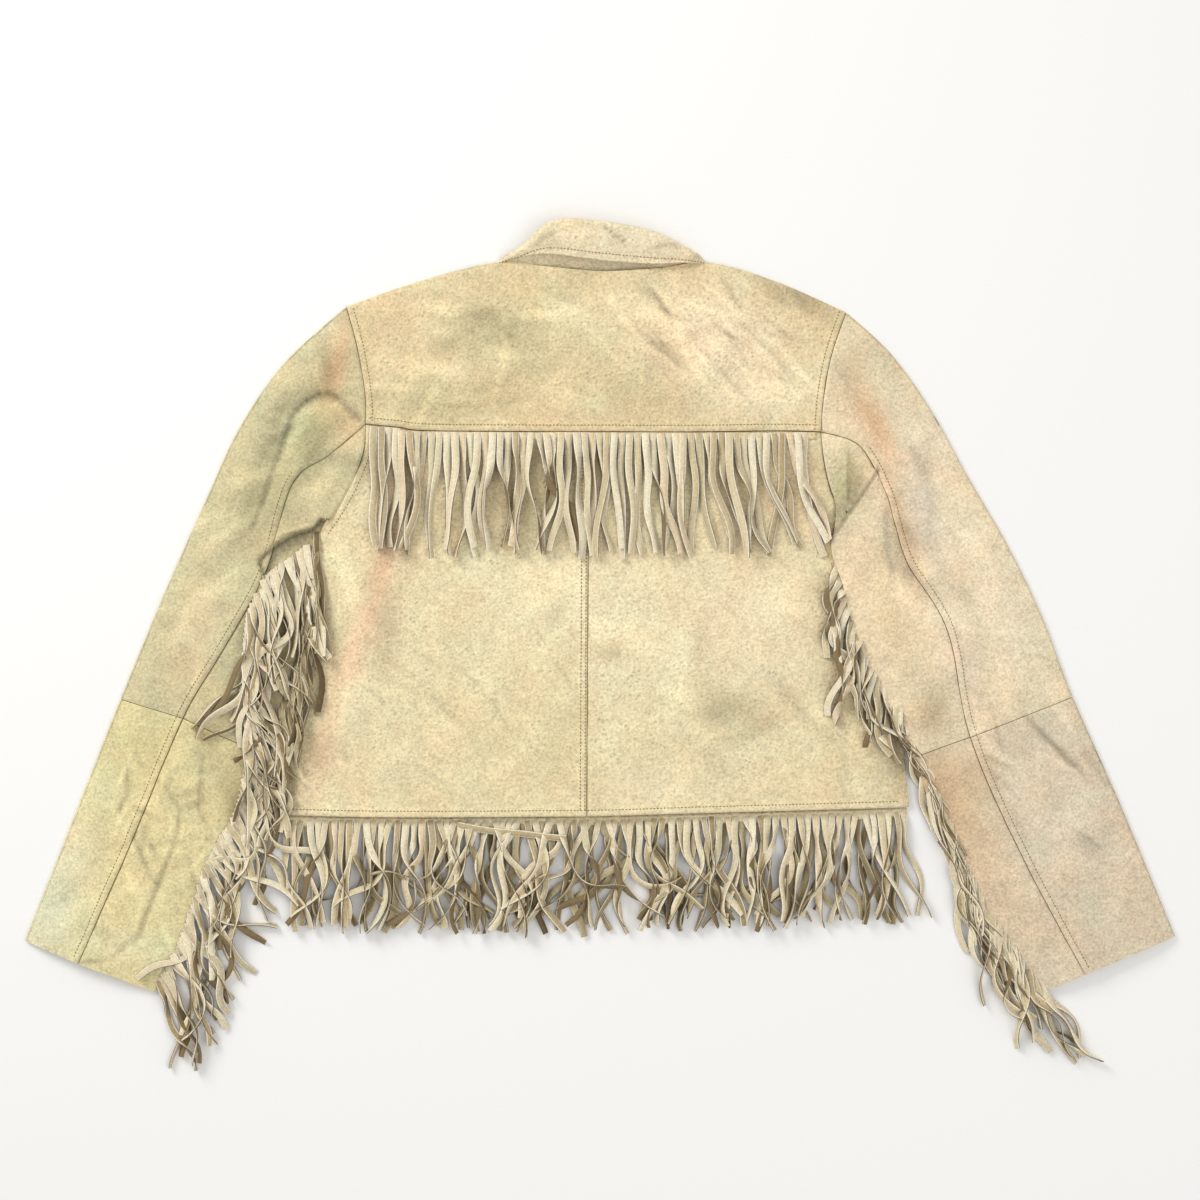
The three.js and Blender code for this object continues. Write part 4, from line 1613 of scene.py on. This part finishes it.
@dataclass
class Collar:
    """The collar's stand, and the leaf that turns over it, from right front to left front."""

    sections: tuple[CollarSection, ...] = tuple(
        CollarSection(row[:3], row[3:6], row[6:])
        for row in (
            # x, y, z of the seam, of the fold and of the free edge
            (6, 288, 1.8, 6, 314, 1.8, 22, 236, 1.1),
            (50, 306, 1.8, 40, 326, 1.8, 80, 254, 1.1),
            (83, 336, 1.8, 74, 347, 1.8, 116, 300, 1.1),
            (94, 351, 3, 93, 353, 4.8, 99, 345, 1.3),
            (75, 350, 5.8, 76, 364, 12.5, 78, 350, 11.5),
            (44, 348, 7, 46, 377.5, 18, 44, 349, 14),
            (0, 345, 7, 0, 385.5, 21.5, 0, 352, 15.5),
            (-44, 349, 7, -42, 386, 20.5, -46, 357.5, 16),
            (-74, 350, 5.8, -72, 363, 12.5, -71, 355, 11.5),
            (-90, 352, 3, -90, 353, 4.8, -96, 345, 1.3),
            (-75, 337, 1.8, -66, 348, 1.8, -108, 302, 1.1),
            (-45, 307, 1.8, -34, 327, 1.8, -74, 255, 1.1),
            (-2, 288, 1.8, -2, 314, 1.8, -17, 236, 1.1),
        )
    )
    rows: int = 150
    thickness: float = HIDE * 0.8
    puff: float = 2.6  # how far the leaf stands off the stand
    tuck: float = 9.0  # how far the stand goes under the yoke
    pieces: dict[str, Cut] = field(default_factory=dict)
    leaf_top: np.ndarray = field(init=False)

    def _lines(self) -> list[np.ndarray]:
        """The seam, the fold and the free edge as smooth lines.

        Returns:
            The three lines.
        """
        made = []
        for part in ("seam", "fold", "edge"):
            line = trace(tuple(getattr(s, part) for s in self.sections), 16)
            at = np.linspace(0, len(line) - 1, self.rows)
            made.append(np.column_stack([np.interp(at, np.arange(len(line)), c) for c in line.T]))
        return made

    @staticmethod
    def _thicken(grid: np.ndarray, depth: float) -> np.ndarray:
        """Moves a grid along its own normals.

        Args:
            grid: Rows of points.
            depth: How far.

        Returns:
            The new grid.
        """
        down = np.gradient(grid, axis=0)
        across = np.gradient(grid, axis=1)
        normal = np.cross(down, across)
        normal /= np.maximum(np.linalg.norm(normal, axis=-1, keepdims=True), 1e-9)
        return grid + normal * depth

    def build(self, finishes: Finishes) -> None:
        """Makes the stand and the leaf.

        Args:
            finishes: The materials.
        """
        seam, fold, edge = self._lines()
        shares = np.linspace(0.04, 0.86, 8)[None, :, None]
        at_turn = (fold[:, 2] > 2.2) & (fold[:, 2] < 10)
        reach = np.where(at_turn, 0.5, 1.0)[:, None, None]
        stand = seam[:, None] + (fold - seam)[:, None] * shares * reach
        tucked = stand[:, :1].copy()
        behind = smooth(seam[:, 2], 2.2, 4.5)
        tucked[:, 0, 1] -= self.tuck * behind
        tucked[:, 0, 2] -= (seam[:, 2] - 2.4) * behind
        stand = np.concatenate([tucked, stand], axis=1)
        outer = self._thicken(stand, self.thickness)
        self.pieces["collar_stand"] = sew("collar_stand", "suede", outer, stand, COLLAR_DYE, finishes.body)
        shares = np.concatenate([[0.0, 0.04, 0.09], np.linspace(0.16, 0.9, 9), [0.94, 0.97, 1.0]])
        leaf = fold[:, None] + (edge - fold)[:, None] * shares[None, :, None]
        stands = smooth(fold[:, 2], 5, 12)[:, None]
        drop = np.minimum(1, shares[None] * 6.3) * (1 - stands) + shares[None] * stands
        leaf[..., 2] = fold[:, 2:] + (edge[:, 2:] - fold[:, 2:]) * drop
        leaf[..., 2] += stands * self.puff * np.sin(np.pi * np.minimum(shares * 1.15, 1))[None]
        leaf[..., 2] = np.maximum(leaf[..., 2], self.thickness + 0.05)
        leaf[:, 0, 2] -= 1.2 * stands[:, 0]
        self.leaf_top = self._thicken(leaf, self.thickness)
        self.pieces["collar_leaf"] = sew("collar_leaf", "suede", self.leaf_top, leaf, COLLAR_DYE, finishes.body)


# --- Fringe -----------------------------------------------------------------------------------------------


class Pile:
    """Heights of what already lies there, so that each strip is laid on the last."""

    coarse = 3  # cells from each place that is measured at first to the next
    deepest = 9.0  # strips press each other down to no more than this above what they lie on
    low = np.array([-560.0, -430.0])
    shape = (1120, 860)  # cells of one millimetre

    def __init__(self, cuts: Iterable[Cut]) -> None:
        """Starts from the upper side of the suede.

        Args:
            cuts: The pieces that strips can lie on.
        """
        points, faces = [], []
        for cut in cuts:
            start = len(points)
            points.extend(v.co[:] for v in cut.piece.data.vertices)
            faces.extend([start + i for i in p.vertices] for p in cut.piece.data.polygons)
        self.tree = BVHTree.FromPolygons(points, faces)
        across, down = (low + np.arange(0, cells, self.coarse) for low, cells in zip(self.low, self.shape))
        sparse = np.array([[self.touch(x, y) for y in down] for x in across])
        whole = np.repeat(np.repeat(sparse, self.coarse, 0), self.coarse, 1)
        self.height = whole[: self.shape[0], : self.shape[1]]
        self.ground = self.height.copy()

    def touch(self, x: float, y: float) -> float:
        """The height of the pieces' upper side at a point, or of the table."""
        hit = self.tree.ray_cast(Vector((x * MM, y * MM, 0.2)), Vector((0, 0, -1)))[0]
        return max(0.0, hit.z / MM) if hit else 0.0

    def _cells(self, at: np.ndarray) -> tuple[np.ndarray, np.ndarray]:
        """The cells that points are in."""
        index = np.round(at - self.low).astype(int)
        return tuple(np.clip(index[..., k], 0, self.shape[k] - 1) for k in (0, 1))

    def lay(self, plan: np.ndarray, roll: np.ndarray, root: float, width: float, depth: float) -> np.ndarray:
        """Lays a strip on what is there.

        Args:
            plan: Its centre line seen from above, one point a row.
            roll: How far it is turned about its own line at each point.
            root: The height of its sewn end.
            width: Its width.
            depth: Its thickness.

        Returns:
            The height of its centre line at each point.
        """
        run = np.gradient(plan, axis=0)
        run /= np.linalg.norm(run, axis=1, keepdims=True)
        side = np.column_stack([-run[:, 1], run[:, 0]])
        half = 0.5 * (width * np.abs(np.sin(roll)) + depth * np.abs(np.cos(roll)))
        spread = 0.5 * (width * np.abs(np.cos(roll)) + depth * np.abs(np.sin(roll)))
        offsets = np.linspace(-1, 1, 7)
        foot = plan[:, None] + side[:, None] * (offsets[None, :, None] * spread[:, None, None])
        support = self.height[self._cells(foot)].max(1) + half + 0.1
        padded = np.pad(support, 2, mode="edge")
        wide = np.max([padded[i : i + len(support)] for i in range(5)], axis=0)
        padded = np.pad(wide, 3, mode="edge")
        eased = np.mean([padded[i : i + len(support)] for i in range(7)], axis=0)
        far = lengths(plan)
        level = np.maximum(eased, support)
        ground = self.ground[self._cells(foot)].max(1)
        above = np.maximum(level - ground - half, 0)
        level = ground + half + 0.1 + self.deepest * (1 - np.exp(-above / self.deepest))
        level = np.maximum(level, root - far * 0.35)
        level = root + (level - root) * smooth(far, 0, 9)
        fine = np.linspace(0, len(plan) - 1, int(far[-1]) + 1)
        index = np.arange(len(plan))
        columns = (*plan.T, *side.T, spread, level + half)
        x, y, side_x, side_y, reach, high = (np.interp(fine, index, column) for column in columns)
        offsets = np.linspace(-1, 1, 9)[None, :, None] * reach[:, None, None]
        cover = np.column_stack([x, y])[:, None] + np.column_stack([side_x, side_y])[:, None] * offsets
        np.maximum.at(self.height, self._cells(cover), np.repeat(high[:, None], 9, 1))
        return level


@dataclass(frozen=True)
class Lie:
    """How the strips lie at one place along a row of fringe. Angles are degrees, and -90 is straight down."""

    share: float
    leaves_at: float
    ends_at: float
    spread: float
    wave: float
    twist: float
    length: float = 110.0


def lies(*rows: tuple[float, ...]) -> tuple[Lie, ...]:
    """A table of how strips lie, a row for each place."""
    return tuple(Lie(*row) for row in rows)


@dataclass
class Fringe:
    """One row of cut strips."""

    name: str
    nodes: tuple[str, ...]
    sewn: Points
    count: int
    lies: tuple[Lie, ...]
    seed: int
    width: float = STRIP
    width_spread: float = 0.16
    depth: float = 1.2
    samples: int = 30
    root_rise: float = 0.9
    is_beneath: bool = False

    def _lie(self, share: float) -> Lie:
        """How the strips lie at a share of the row.

        Args:
            share: The share of the row's length.

        Returns:
            Every angle and size, between the two nearest of the table's.
        """
        at = [lie.share for lie in self.lies]
        return Lie(*(float(np.interp(share, at, column)) for column in zip(*map(astuple, self.lies))))

    def build(self, pile: Pile, tree: bpy.types.NodeTree, finishes: Finishes, slot: str) -> bpy.types.Object:
        """Cuts the row's strips and lays each on what is beneath it.

        Args:
            pile: What the strips can lie on.
            tree: The Geometry Nodes tree that gives a line a strip's section.
            finishes: The materials.
            slot: Not used.

        Returns:
            The piece.
        """
        random = np.random.default_rng(self.seed)
        curve = bpy.data.curves.new(self.name + "_lines", "CURVE")
        curve.dimensions = "3D"
        curve.twist_mode = "Z_UP"
        shares = (np.arange(self.count) + 0.5) / self.count
        roots = along(self.sewn, shares)
        for i in random.permutation(self.count):
            self._strip(curve, roots[i], self._lie(shares[i]), pile, random)
        # Rows that lie beneath take the darker copy of the strip material, which is painted shade.
        suede = finishes.shaded_strips if self.is_beneath else finishes.strips
        inputs = {"Width": self.width * MM, "Thickness": self.depth * MM, "Suede": suede}
        piece = realise(self.name, curve, tree, inputs)
        own(piece, slot, *self.nodes)
        return piece

    def _strip(
        self, curve: bpy.types.Curve, root: np.ndarray, lie: Lie, pile: Pile, random: np.random.Generator
    ) -> None:
        """Adds one strip's centre line to the row.

        Args:
            curve: The row's lines.
            root: Where the strip is sewn.
            lie: How it lies.
            pile: What it can lie on.
            random: The row's own random numbers.
        """
        length = lie.length * random.uniform(0.93, 1.04)
        s = np.linspace(0, 1, self.samples)
        start = lie.leaves_at + random.normal(0, 0.4 * lie.spread)
        end = lie.ends_at + random.normal(0, lie.spread)
        wave = lie.wave * random.uniform(0.4, 1.4) * random.choice((-1, 1))
        beats = random.uniform(0.7, 1.7)
        phase = random.uniform(0, 2 * np.pi)
        heading = start + (end - start) * smooth(s, 0.08, 0.75)
        heading = heading + wave * np.sin(2 * np.pi * beats * s + phase) * smooth(s, 0.05, 0.4)
        angle = np.radians(heading)
        step = length / (self.samples - 1)
        moves = np.column_stack([np.cos(angle), np.sin(angle)]) * step
        plan = root + np.vstack([[0, 0], np.cumsum(moves[:-1], axis=0)])
        turn = np.radians(lie.twist) * random.normal(0, 1)
        settle = np.radians(lie.twist * 0.5) * random.normal(0, 1)
        settle = settle * np.sin(2 * np.pi * random.uniform(0.8, 1.6) * s)
        roll = (turn * smooth(s, 0.1, 0.55) + settle) * smooth(s, 0.02, 0.25)
        width = self.width * (1 + self.width_spread * random.uniform(-1, 0.5))
        base = pile.touch(*root) + self.root_rise
        level = pile.lay(plan, roll, base, width, self.depth)
        spline = curve.splines.new("POLY")
        spline.points.add(self.samples - 1)
        taper = 1 - 0.22 * smooth(s, 0.9, 1.0) * random.uniform(0, 1)
        co = np.column_stack([plan * MM, level * MM, np.ones(self.samples)])
        spline.points.foreach_set("co", co.ravel())
        spline.points.foreach_set("tilt", roll)
        spline.points.foreach_set("radius", taper * width / self.width)


def strip_tree() -> bpy.types.NodeTree:
    """Geometry Nodes that give each line the flat section of a cut strip.

    Returns:
        The tree, with inputs Width, Thickness and Suede.
    """
    takes = {"Lines": "Geometry", "Width": "Float", "Thickness": "Float", "Suede": "Material"}
    tree = blank_tree("cut strips", takes, "Strips")
    given = add_node(tree, "NodeGroupInput").outputs
    section = add_node(
        tree,
        "GeometryNodeCurvePrimitiveQuadrilateral",
        inputs={"Width": given["Width"], "Height": given["Thickness"]},
    )
    section = add_node(tree, "GeometryNodeSubdivideCurve", inputs={"Curve": section.outputs[0], "Cuts": 1})
    position = add_node(tree, "GeometryNodeInputPosition").outputs[0]
    place = add_node(tree, "ShaderNodeSeparateXYZ", inputs={0: position})
    made = section.outputs[0]
    for name, axis, size in (("across", "X", "Width"), ("facing", "Y", "Thickness")):
        half = add_node(tree, "ShaderNodeMath", {"operation": "MULTIPLY"}, {0: given[size], 1: 0.5}).outputs[0]
        share = add_node(
            tree, "ShaderNodeMath", {"operation": "DIVIDE"}, {0: place.outputs[axis], 1: half}
        ).outputs[0]
        if axis == "X":
            share = add_node(tree, "ShaderNodeMath", {"operation": "ABSOLUTE"}, {0: share}).outputs[0]
        made = add_node(
            tree,
            "GeometryNodeStoreNamedAttribute",
            {"data_type": "FLOAT", "domain": "POINT"},
            {"Geometry": made, "Name": name, "Value": share},
        ).outputs[0]
    radius = add_node(tree, "GeometryNodeInputRadius").outputs[0]
    swept = add_node(
        tree,
        "GeometryNodeCurveToMesh",
        inputs={"Curve": given["Lines"], "Profile Curve": made, "Scale": radius, "Fill Caps": True},
    )
    real = add_node(tree, "GeometryNodeRealizeInstances", inputs={0: swept.outputs[0]})
    dressed = add_node(
        tree, "GeometryNodeSetMaterial", inputs={"Geometry": real.outputs[0], "Material": given["Suede"]}
    )
    add_node(tree, "NodeGroupOutput", inputs={0: dressed.outputs[0]})
    return tree


def stitch_tree() -> bpy.types.NodeTree:
    """Geometry Nodes that sew a line of stitches along each curve.

    Returns:
        The tree, with inputs Pitch, Length, Thickness and Thread.
    """
    floats = dict.fromkeys(("Pitch", "Length", "Thickness"), "Float")
    tree = blank_tree("topstitching", {"Lines": "Geometry", **floats, "Thread": "Material"}, "Stitches")
    given = add_node(tree, "NodeGroupInput").outputs
    marks = add_node(
        tree,
        "GeometryNodeResampleCurve",
        {"mode": "LENGTH"},
        {"Curve": given["Lines"], "Length": given["Pitch"]},
    )
    tangent = add_node(tree, "GeometryNodeInputTangent").outputs[0]
    turned = add_node(tree, "FunctionNodeAlignRotationToVector", {"axis": "X"}, {"Vector": tangent}).outputs[0]
    bead = add_node(tree, "GeometryNodeMeshUVSphere", inputs={"Segments": 6, "Rings": 4, "Radius": 0.5})
    size = add_node(
        tree,
        "ShaderNodeCombineXYZ",
        inputs={"X": given["Length"], "Y": given["Thickness"], "Z": given["Thickness"]},
    ).outputs[0]
    sewn = add_node(
        tree,
        "GeometryNodeInstanceOnPoints",
        inputs={
            "Points": marks.outputs[0],
            "Instance": bead.outputs["Mesh"],
            "Rotation": turned,
            "Scale": size,
        },
    )
    real = add_node(tree, "GeometryNodeRealizeInstances", inputs={0: sewn.outputs[0]})
    dressed = add_node(
        tree, "GeometryNodeSetMaterial", inputs={"Geometry": real.outputs[0], "Material": given["Thread"]}
    )
    add_node(tree, "NodeGroupOutput", inputs={0: dressed.outputs[0]})
    return tree


@dataclass
class Topstitching:
    """Lines of stitches beside the seams."""

    name: str
    slot: str
    pitch: float = 3.1
    stitch: float = 2.2
    thread: float = 0.95
    rise: float = 0.05  # how far a stitch's middle is above the suede

    def build(
        self, lines: Sequence[np.ndarray], pile: Pile, tree: bpy.types.NodeTree, finishes: Finishes
    ) -> bpy.types.Object:
        """Sews along lines, on whatever suede is there.

        Args:
            lines: The lines, with x and y, or with z too.
            pile: The pieces that are sewn.
            tree: The Geometry Nodes tree for a line of stitches.
            finishes: The materials.

        Returns:
            The piece.
        """
        curve = bpy.data.curves.new(self.name + "_lines", "CURVE")
        curve.dimensions = "3D"
        for line in lines:
            far = lengths(line[:, :2])
            at = np.linspace(0, far[-1], max(4, int(far[-1] / 4)))
            place = np.column_stack([np.interp(at, far, c) for c in line.T])
            high = [p[2] if len(p) > 2 else pile.touch(p[0], p[1]) for p in place]
            spline = curve.splines.new("POLY")
            spline.points.add(len(at) - 1)
            co = np.column_stack([place[:, :2], np.array(high) + self.rise, np.full(len(at), 1000.0)]) * MM
            spline.points.foreach_set("co", co.ravel())
        sizes = {"Pitch": self.pitch * MM, "Length": self.stitch * MM, "Thickness": self.thread * MM}
        piece = realise(self.name, curve, tree, {**sizes, "Thread": finishes.thread})
        own(piece, self.slot)
        return piece


def beside(points: Points, by: float, start: float = 0.0, end: float = 1.0) -> np.ndarray:
    """A line beside a seam.

    Args:
        points: The seam.
        by: How far to its left, as it runs, or to its right where it is below nothing.
        start: The share of the seam's length where the line starts.
        end: The share where it ends.

    Returns:
        The line's points.
    """
    line = along(points, np.linspace(start, end, 80))
    run = np.gradient(line, axis=0)
    run /= np.linalg.norm(run, axis=1, keepdims=True)
    return line + np.column_stack([-run[:, 1], run[:, 0]]) * by


@dataclass
class Header:
    """The uncut suede above a row of strips."""

    name: str
    sewn: Points
    depth: float
    rise: float
    dye: DyeAndShade
    half: float = 0.6  # half its thickness

    def build(self, pile: Pile, finishes: Finishes) -> bpy.types.Object:
        """Makes the header on what is beneath it.

        Args:
            pile: What it lies on.
            finishes: The materials.

        Returns:
            The piece.
        """
        down = np.linspace(0, self.depth, 5)
        plan = along(self.sewn, np.linspace(0, 1, 120))[:, None] + np.array([0, -1.0]) * down[None, :, None]
        base = np.array([pile.touch(x, y) for x, y in plan[:, 0]])[:, None] + self.rise + 0 * down[None]
        top, under = np.dstack([plan, base + self.half]), np.dstack([plan, base - self.half])
        piece = shell(self.name, top, under, self.dye, finishes.body)
        own(piece, "fringe_suede")
        return piece


# --- Setting ----------------------------------------------------------------------------------------------


@dataclass
class Studio:
    """The camera overhead, the soft lights and the white table."""

    camera_height: float = 2.2
    frame_width: float = 1.08
    look_y: float = 0.0482
    sensor: float = 36.0
    surround: float = 0.56
    table_half: float = 6.0

    def place_camera(self) -> None:
        """Puts the camera straight above the jacket."""
        data = bpy.data.cameras.new("overhead")
        data.sensor_width = self.sensor
        data.lens = self.sensor * self.camera_height / self.frame_width
        camera = bpy.data.objects.new("overhead", data)
        camera.location = (0, self.look_y, self.camera_height)
        bpy.context.scene.collection.objects.link(camera)
        bpy.context.scene.camera = camera

    def light(self) -> None:
        """Sets up two soft lights and an even, pale surround."""
        for name, place, size, watts in (
            ("window", (-1.8, 1.8, 1.5), 1.1, 47.0),
            ("ceiling", (1.2, -0.5, 2.6), 2.4, 24.0),
        ):
            data = bpy.data.lights.new(name, "AREA")
            data.size = size
            data.energy = watts
            lamp = bpy.data.objects.new(name, data)
            lamp.location = place
            lamp.rotation_euler = (-Vector(place)).to_track_quat("-Z", "Y").to_euler()
            bpy.context.scene.collection.objects.link(lamp)
        world = bpy.data.worlds.new("pale surround")
        world.use_nodes = True
        background = world.node_tree.nodes["Background"]
        background.inputs["Color"].default_value = (1, 1, 1, 1)
        background.inputs["Strength"].default_value = self.surround
        bpy.context.scene.world = world
        bpy.context.scene.view_settings.view_transform = "Standard"

    def table(self, finishes: Finishes) -> None:
        """Lays the table under the jacket.

        Args:
            finishes: The materials.
        """
        mesh = bpy.data.meshes.new("table")
        corners = ((-1, -1), (1, -1), (1, 1), (-1, 1))
        points = [(x * self.table_half, y * self.table_half, 0) for x, y in corners]
        mesh.from_pydata(points, [], [(0, 1, 2, 3)])
        mesh.materials.append(finishes.table)
        table = bpy.data.objects.new("table", mesh)
        bpy.context.scene.collection.objects.link(table)


def fringe_rows() -> dict[str, Fringe]:
    """The rows of fringe.

    Returns:
        Every row by name, in the order in which they are laid.
    """
    # For each row, how its strips lie: share of the row, the angle at which they leave the seam and
    # the angle at which they end, the spread of those, wave, twist, length.
    return {
        "hem_front": Fringe(
            "cut_fringe_hem_front",
            ("fringe_hem_left_front", "fringe_hem_right_front"),
            ((-282, -149.5), (-12, -150), (274, -144)),
            74,
            lies(
                (0, -90, -88, 22, 22, 70, 100),
                (0.5, -90, -92, 34, 26, 80, 104),
                (1, -90, -86, 24, 22, 70, 100),
            ),
            seed=11,
            is_beneath=True,
        ),
        "hem_back": Fringe(
            "cut_fringe_hem_back",
            ("fringe_hem_back",),
            ((-286, -148.5), (-180, -149), (-12, -148.5), (95, -146), (277, -141)),
            78,
            lies(
                (0, -90, -84, 16, 22, 60, 104),
                (0.2, -90, -98, 24, 26, 80, 104),
                (0.35, -90, -102, 36, 30, 85, 110),
                (0.5, -90, -80, 30, 28, 80, 106),
                (0.75, -90, -94, 22, 22, 75, 104),
                (1, -90, -88, 16, 20, 60, 100),
            ),
            seed=5,
        ),
        "hem_stray": Fringe(
            "cut_fringe_hem_stray",
            (),
            ((-134, -153), (-132, -153)),
            1,
            lies((0, -10, -4, 1, 5, 12, 108)),
            seed=2,
        ),
        "yoke": Fringe(
            "cut_fringe_yoke",
            ("fringe_yoke",),
            ((-206, 204.5), (-180, 202), (-150, 199), (90, 198), (187, 198.5)),
            58,
            lies(
                (0, -90, -92, 4, 11, 40),
                (0.1, -92, -94, 6, 12, 48),
                (0.34, -90, -88, 5, 12, 48),
                (0.4, -90, -84, 20, 26, 70),
                (0.47, -90, -90, 8, 14, 50),
                (0.62, -90, -86, 5, 9, 40),
                (0.78, -88, -74, 8, 12, 46),
                (0.9, -88, -70, 11, 13, 44),
                (1, -88, -78, 10, 12, 40),
            ),
            seed=23,
            width=6.6,
        ),
        "sleeve_left_inner": Fringe(
            "cut_fringe_sleeve_left_inner",
            (),
            ((-254, 112), (-257, 90), (-262, 60), (-265, 24), (-272, -8), (-284, -38), (-298, -80)),
            34,
            lies(
                (0, -88, -86, 5, 14, 60, 84),
                (0.5, -84, -90, 8, 18, 70, 80),
                (1, -84, -94, 10, 18, 70, 66),
            ),
            seed=37,
            is_beneath=True,
        ),
        "sleeve_left": Fringe(
            "cut_fringe_sleeve_left",
            ("fringe_sleeve_left",),
            (
                *((-262, 99), (-279, 86), (-292, 77), (-300, 70), (-309, 52), (-317, 20), (-318, -36)),
                *((-316, -88), (-326, -138), (-342, -166), (-354, -190), (-366, -228), (-378, -258)),
                (-398, -296),
            ),
            96,
            lies(
                (0, -84, -88, 12, 18, 60, 104),
                (0.1, -70, -92, 18, 26, 80, 106),
                (0.2, -75, -100, 26, 28, 80, 104),
                (0.4, -60, -88, 26, 26, 80, 100),
                (0.6, -58, -96, 24, 26, 80, 96),
                (0.8, -62, -84, 22, 24, 70, 96),
                (1, -66, -84, 18, 24, 70, 92),
            ),
            seed=31,
        ),
        "sleeve_right": Fringe(
            "cut_fringe_sleeve_right",
            ("fringe_sleeve_right",),
            (
                *((213, 82), (221, 58), (230, 30), (244, -4), (264, -36), (284, -74)),
                *((300, -112), (314, -146), (332, -192), (360, -242), (396, -298)),
            ),
            84,
            lies(
                (0, -116, -86, 9, 22, 70, 58),
                (0.1, -112, -80, 14, 26, 85, 92),
                (0.24, -98, -66, 12, 22, 80, 82),
                (0.36, -84, -62, 8, 16, 75, 72),
                (0.5, -84, -66, 8, 16, 75, 84),
                (0.65, -92, -70, 12, 22, 75, 94),
                (0.85, -90, -68, 14, 24, 75, 96),
                (1, -66, -48, 14, 24, 75, 92),
            ),
            seed=47,
        ),
    }


def stitch_lines() -> list[np.ndarray]:
    """The topstitching on the body and the sleeves.

    Returns:
        Every line, seen from above.
    """
    return [
        beside(YOKE, STITCH_IN, 0.01, 0.99),
        beside(CENTRE_BACK, -STITCH_IN, 0.04, 0.98),
        beside(CENTRE_BACK, -1.6, 0.04, 0.98),
        beside(HEM, STITCH_IN, 0.01, 0.98),
        beside((*LEFT_CAP, *LEFT_UNDERARM[1:]), STITCH_IN, 0.02, 0.97),
        beside(RIGHT_CAP, -STITCH_IN, 0.02, 0.98),
        beside(part_of(LEFT_SECTIONS, "seam"), -STITCH_IN, 0.14, 0.99),
        beside(part_of(RIGHT_SECTIONS, "seam"), STITCH_IN, 0.08, 0.99),
    ]


def declare_sheets(cuts: dict[str, Cut]) -> None:
    """Says what each piece of suede was cut to.

    Args:
        cuts: The pieces of suede by name.
    """
    for name, cut in cuts.items():
        log.info("%s was cut %.3f by %.3f m, %.4f square metres", name, cut.width, cut.length, cut.area)


def main() -> None:
    """Builds the jacket and what it lies on."""
    logging.basicConfig(level=logging.INFO, format="%(name)s: %(message)s")
    studio = Studio()
    studio.place_camera()
    finishes = Finishes()
    studio.light()
    studio.table(finishes)
    body = Body()
    body.build(finishes)
    left = Sleeve(Side.LEFT, LEFT_SECTIONS, LEFT_CAP, LEFT_UNDERARM, 5, LEFT_FLAP, LEFT_DYE_AND_SHADE, LEFT_LOW_DYE_AND_SHADE)
    left.build(finishes)
    right = Sleeve(
        Side.RIGHT, RIGHT_SECTIONS, RIGHT_CAP, RIGHT_UNDERARM, 6, RIGHT_FLAP, RIGHT_DYE, RIGHT_LOW_DYE
    )
    right.build(finishes)
    collar = Collar()
    collar.build(finishes)
    cuts = {**body.pieces, **left.pieces, **right.pieces, **collar.pieces}
    pile = Pile(cuts.values())
    beneath_sleeve = Pile(body.pieces.values())
    strips, stitches = strip_tree(), stitch_tree()
    Topstitching("topstitching", "suede").build(stitch_lines(), pile, stitches, finishes)
    leaf_line = collar.leaf_top[38:-38, 10]  # near the free edge, where the leaf is up
    Topstitching("collar_stitching", "suede").build([leaf_line], pile, stitches, finishes)
    yoke_line = ((-206, 205.5), (-180, 202.4), (-150, 199.4), (90, 198.4), (194, 198.8))
    hem_line = ((-286, -146), (-180, -147.8), (-12, -146.8), (95, -144), (276, -139))
    made = {
        "yoke_header": Header("yoke_header", yoke_line, 6.5, 1.0, YOKE_DYE).build(pile, finishes),
        "hem_header": Header("hem_header", hem_line, 9.0, 1.2, BACK_DYE_AND_SHADE).build(pile, finishes),
    }
    for name, row in fringe_rows().items():
        bed = beneath_sleeve if name == "sleeve_right" else pile
        made[name] = row.build(bed, strips, finishes, "fringe_suede")
    declare_sheets(cuts)


if __name__ == "__main__":
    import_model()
    main()
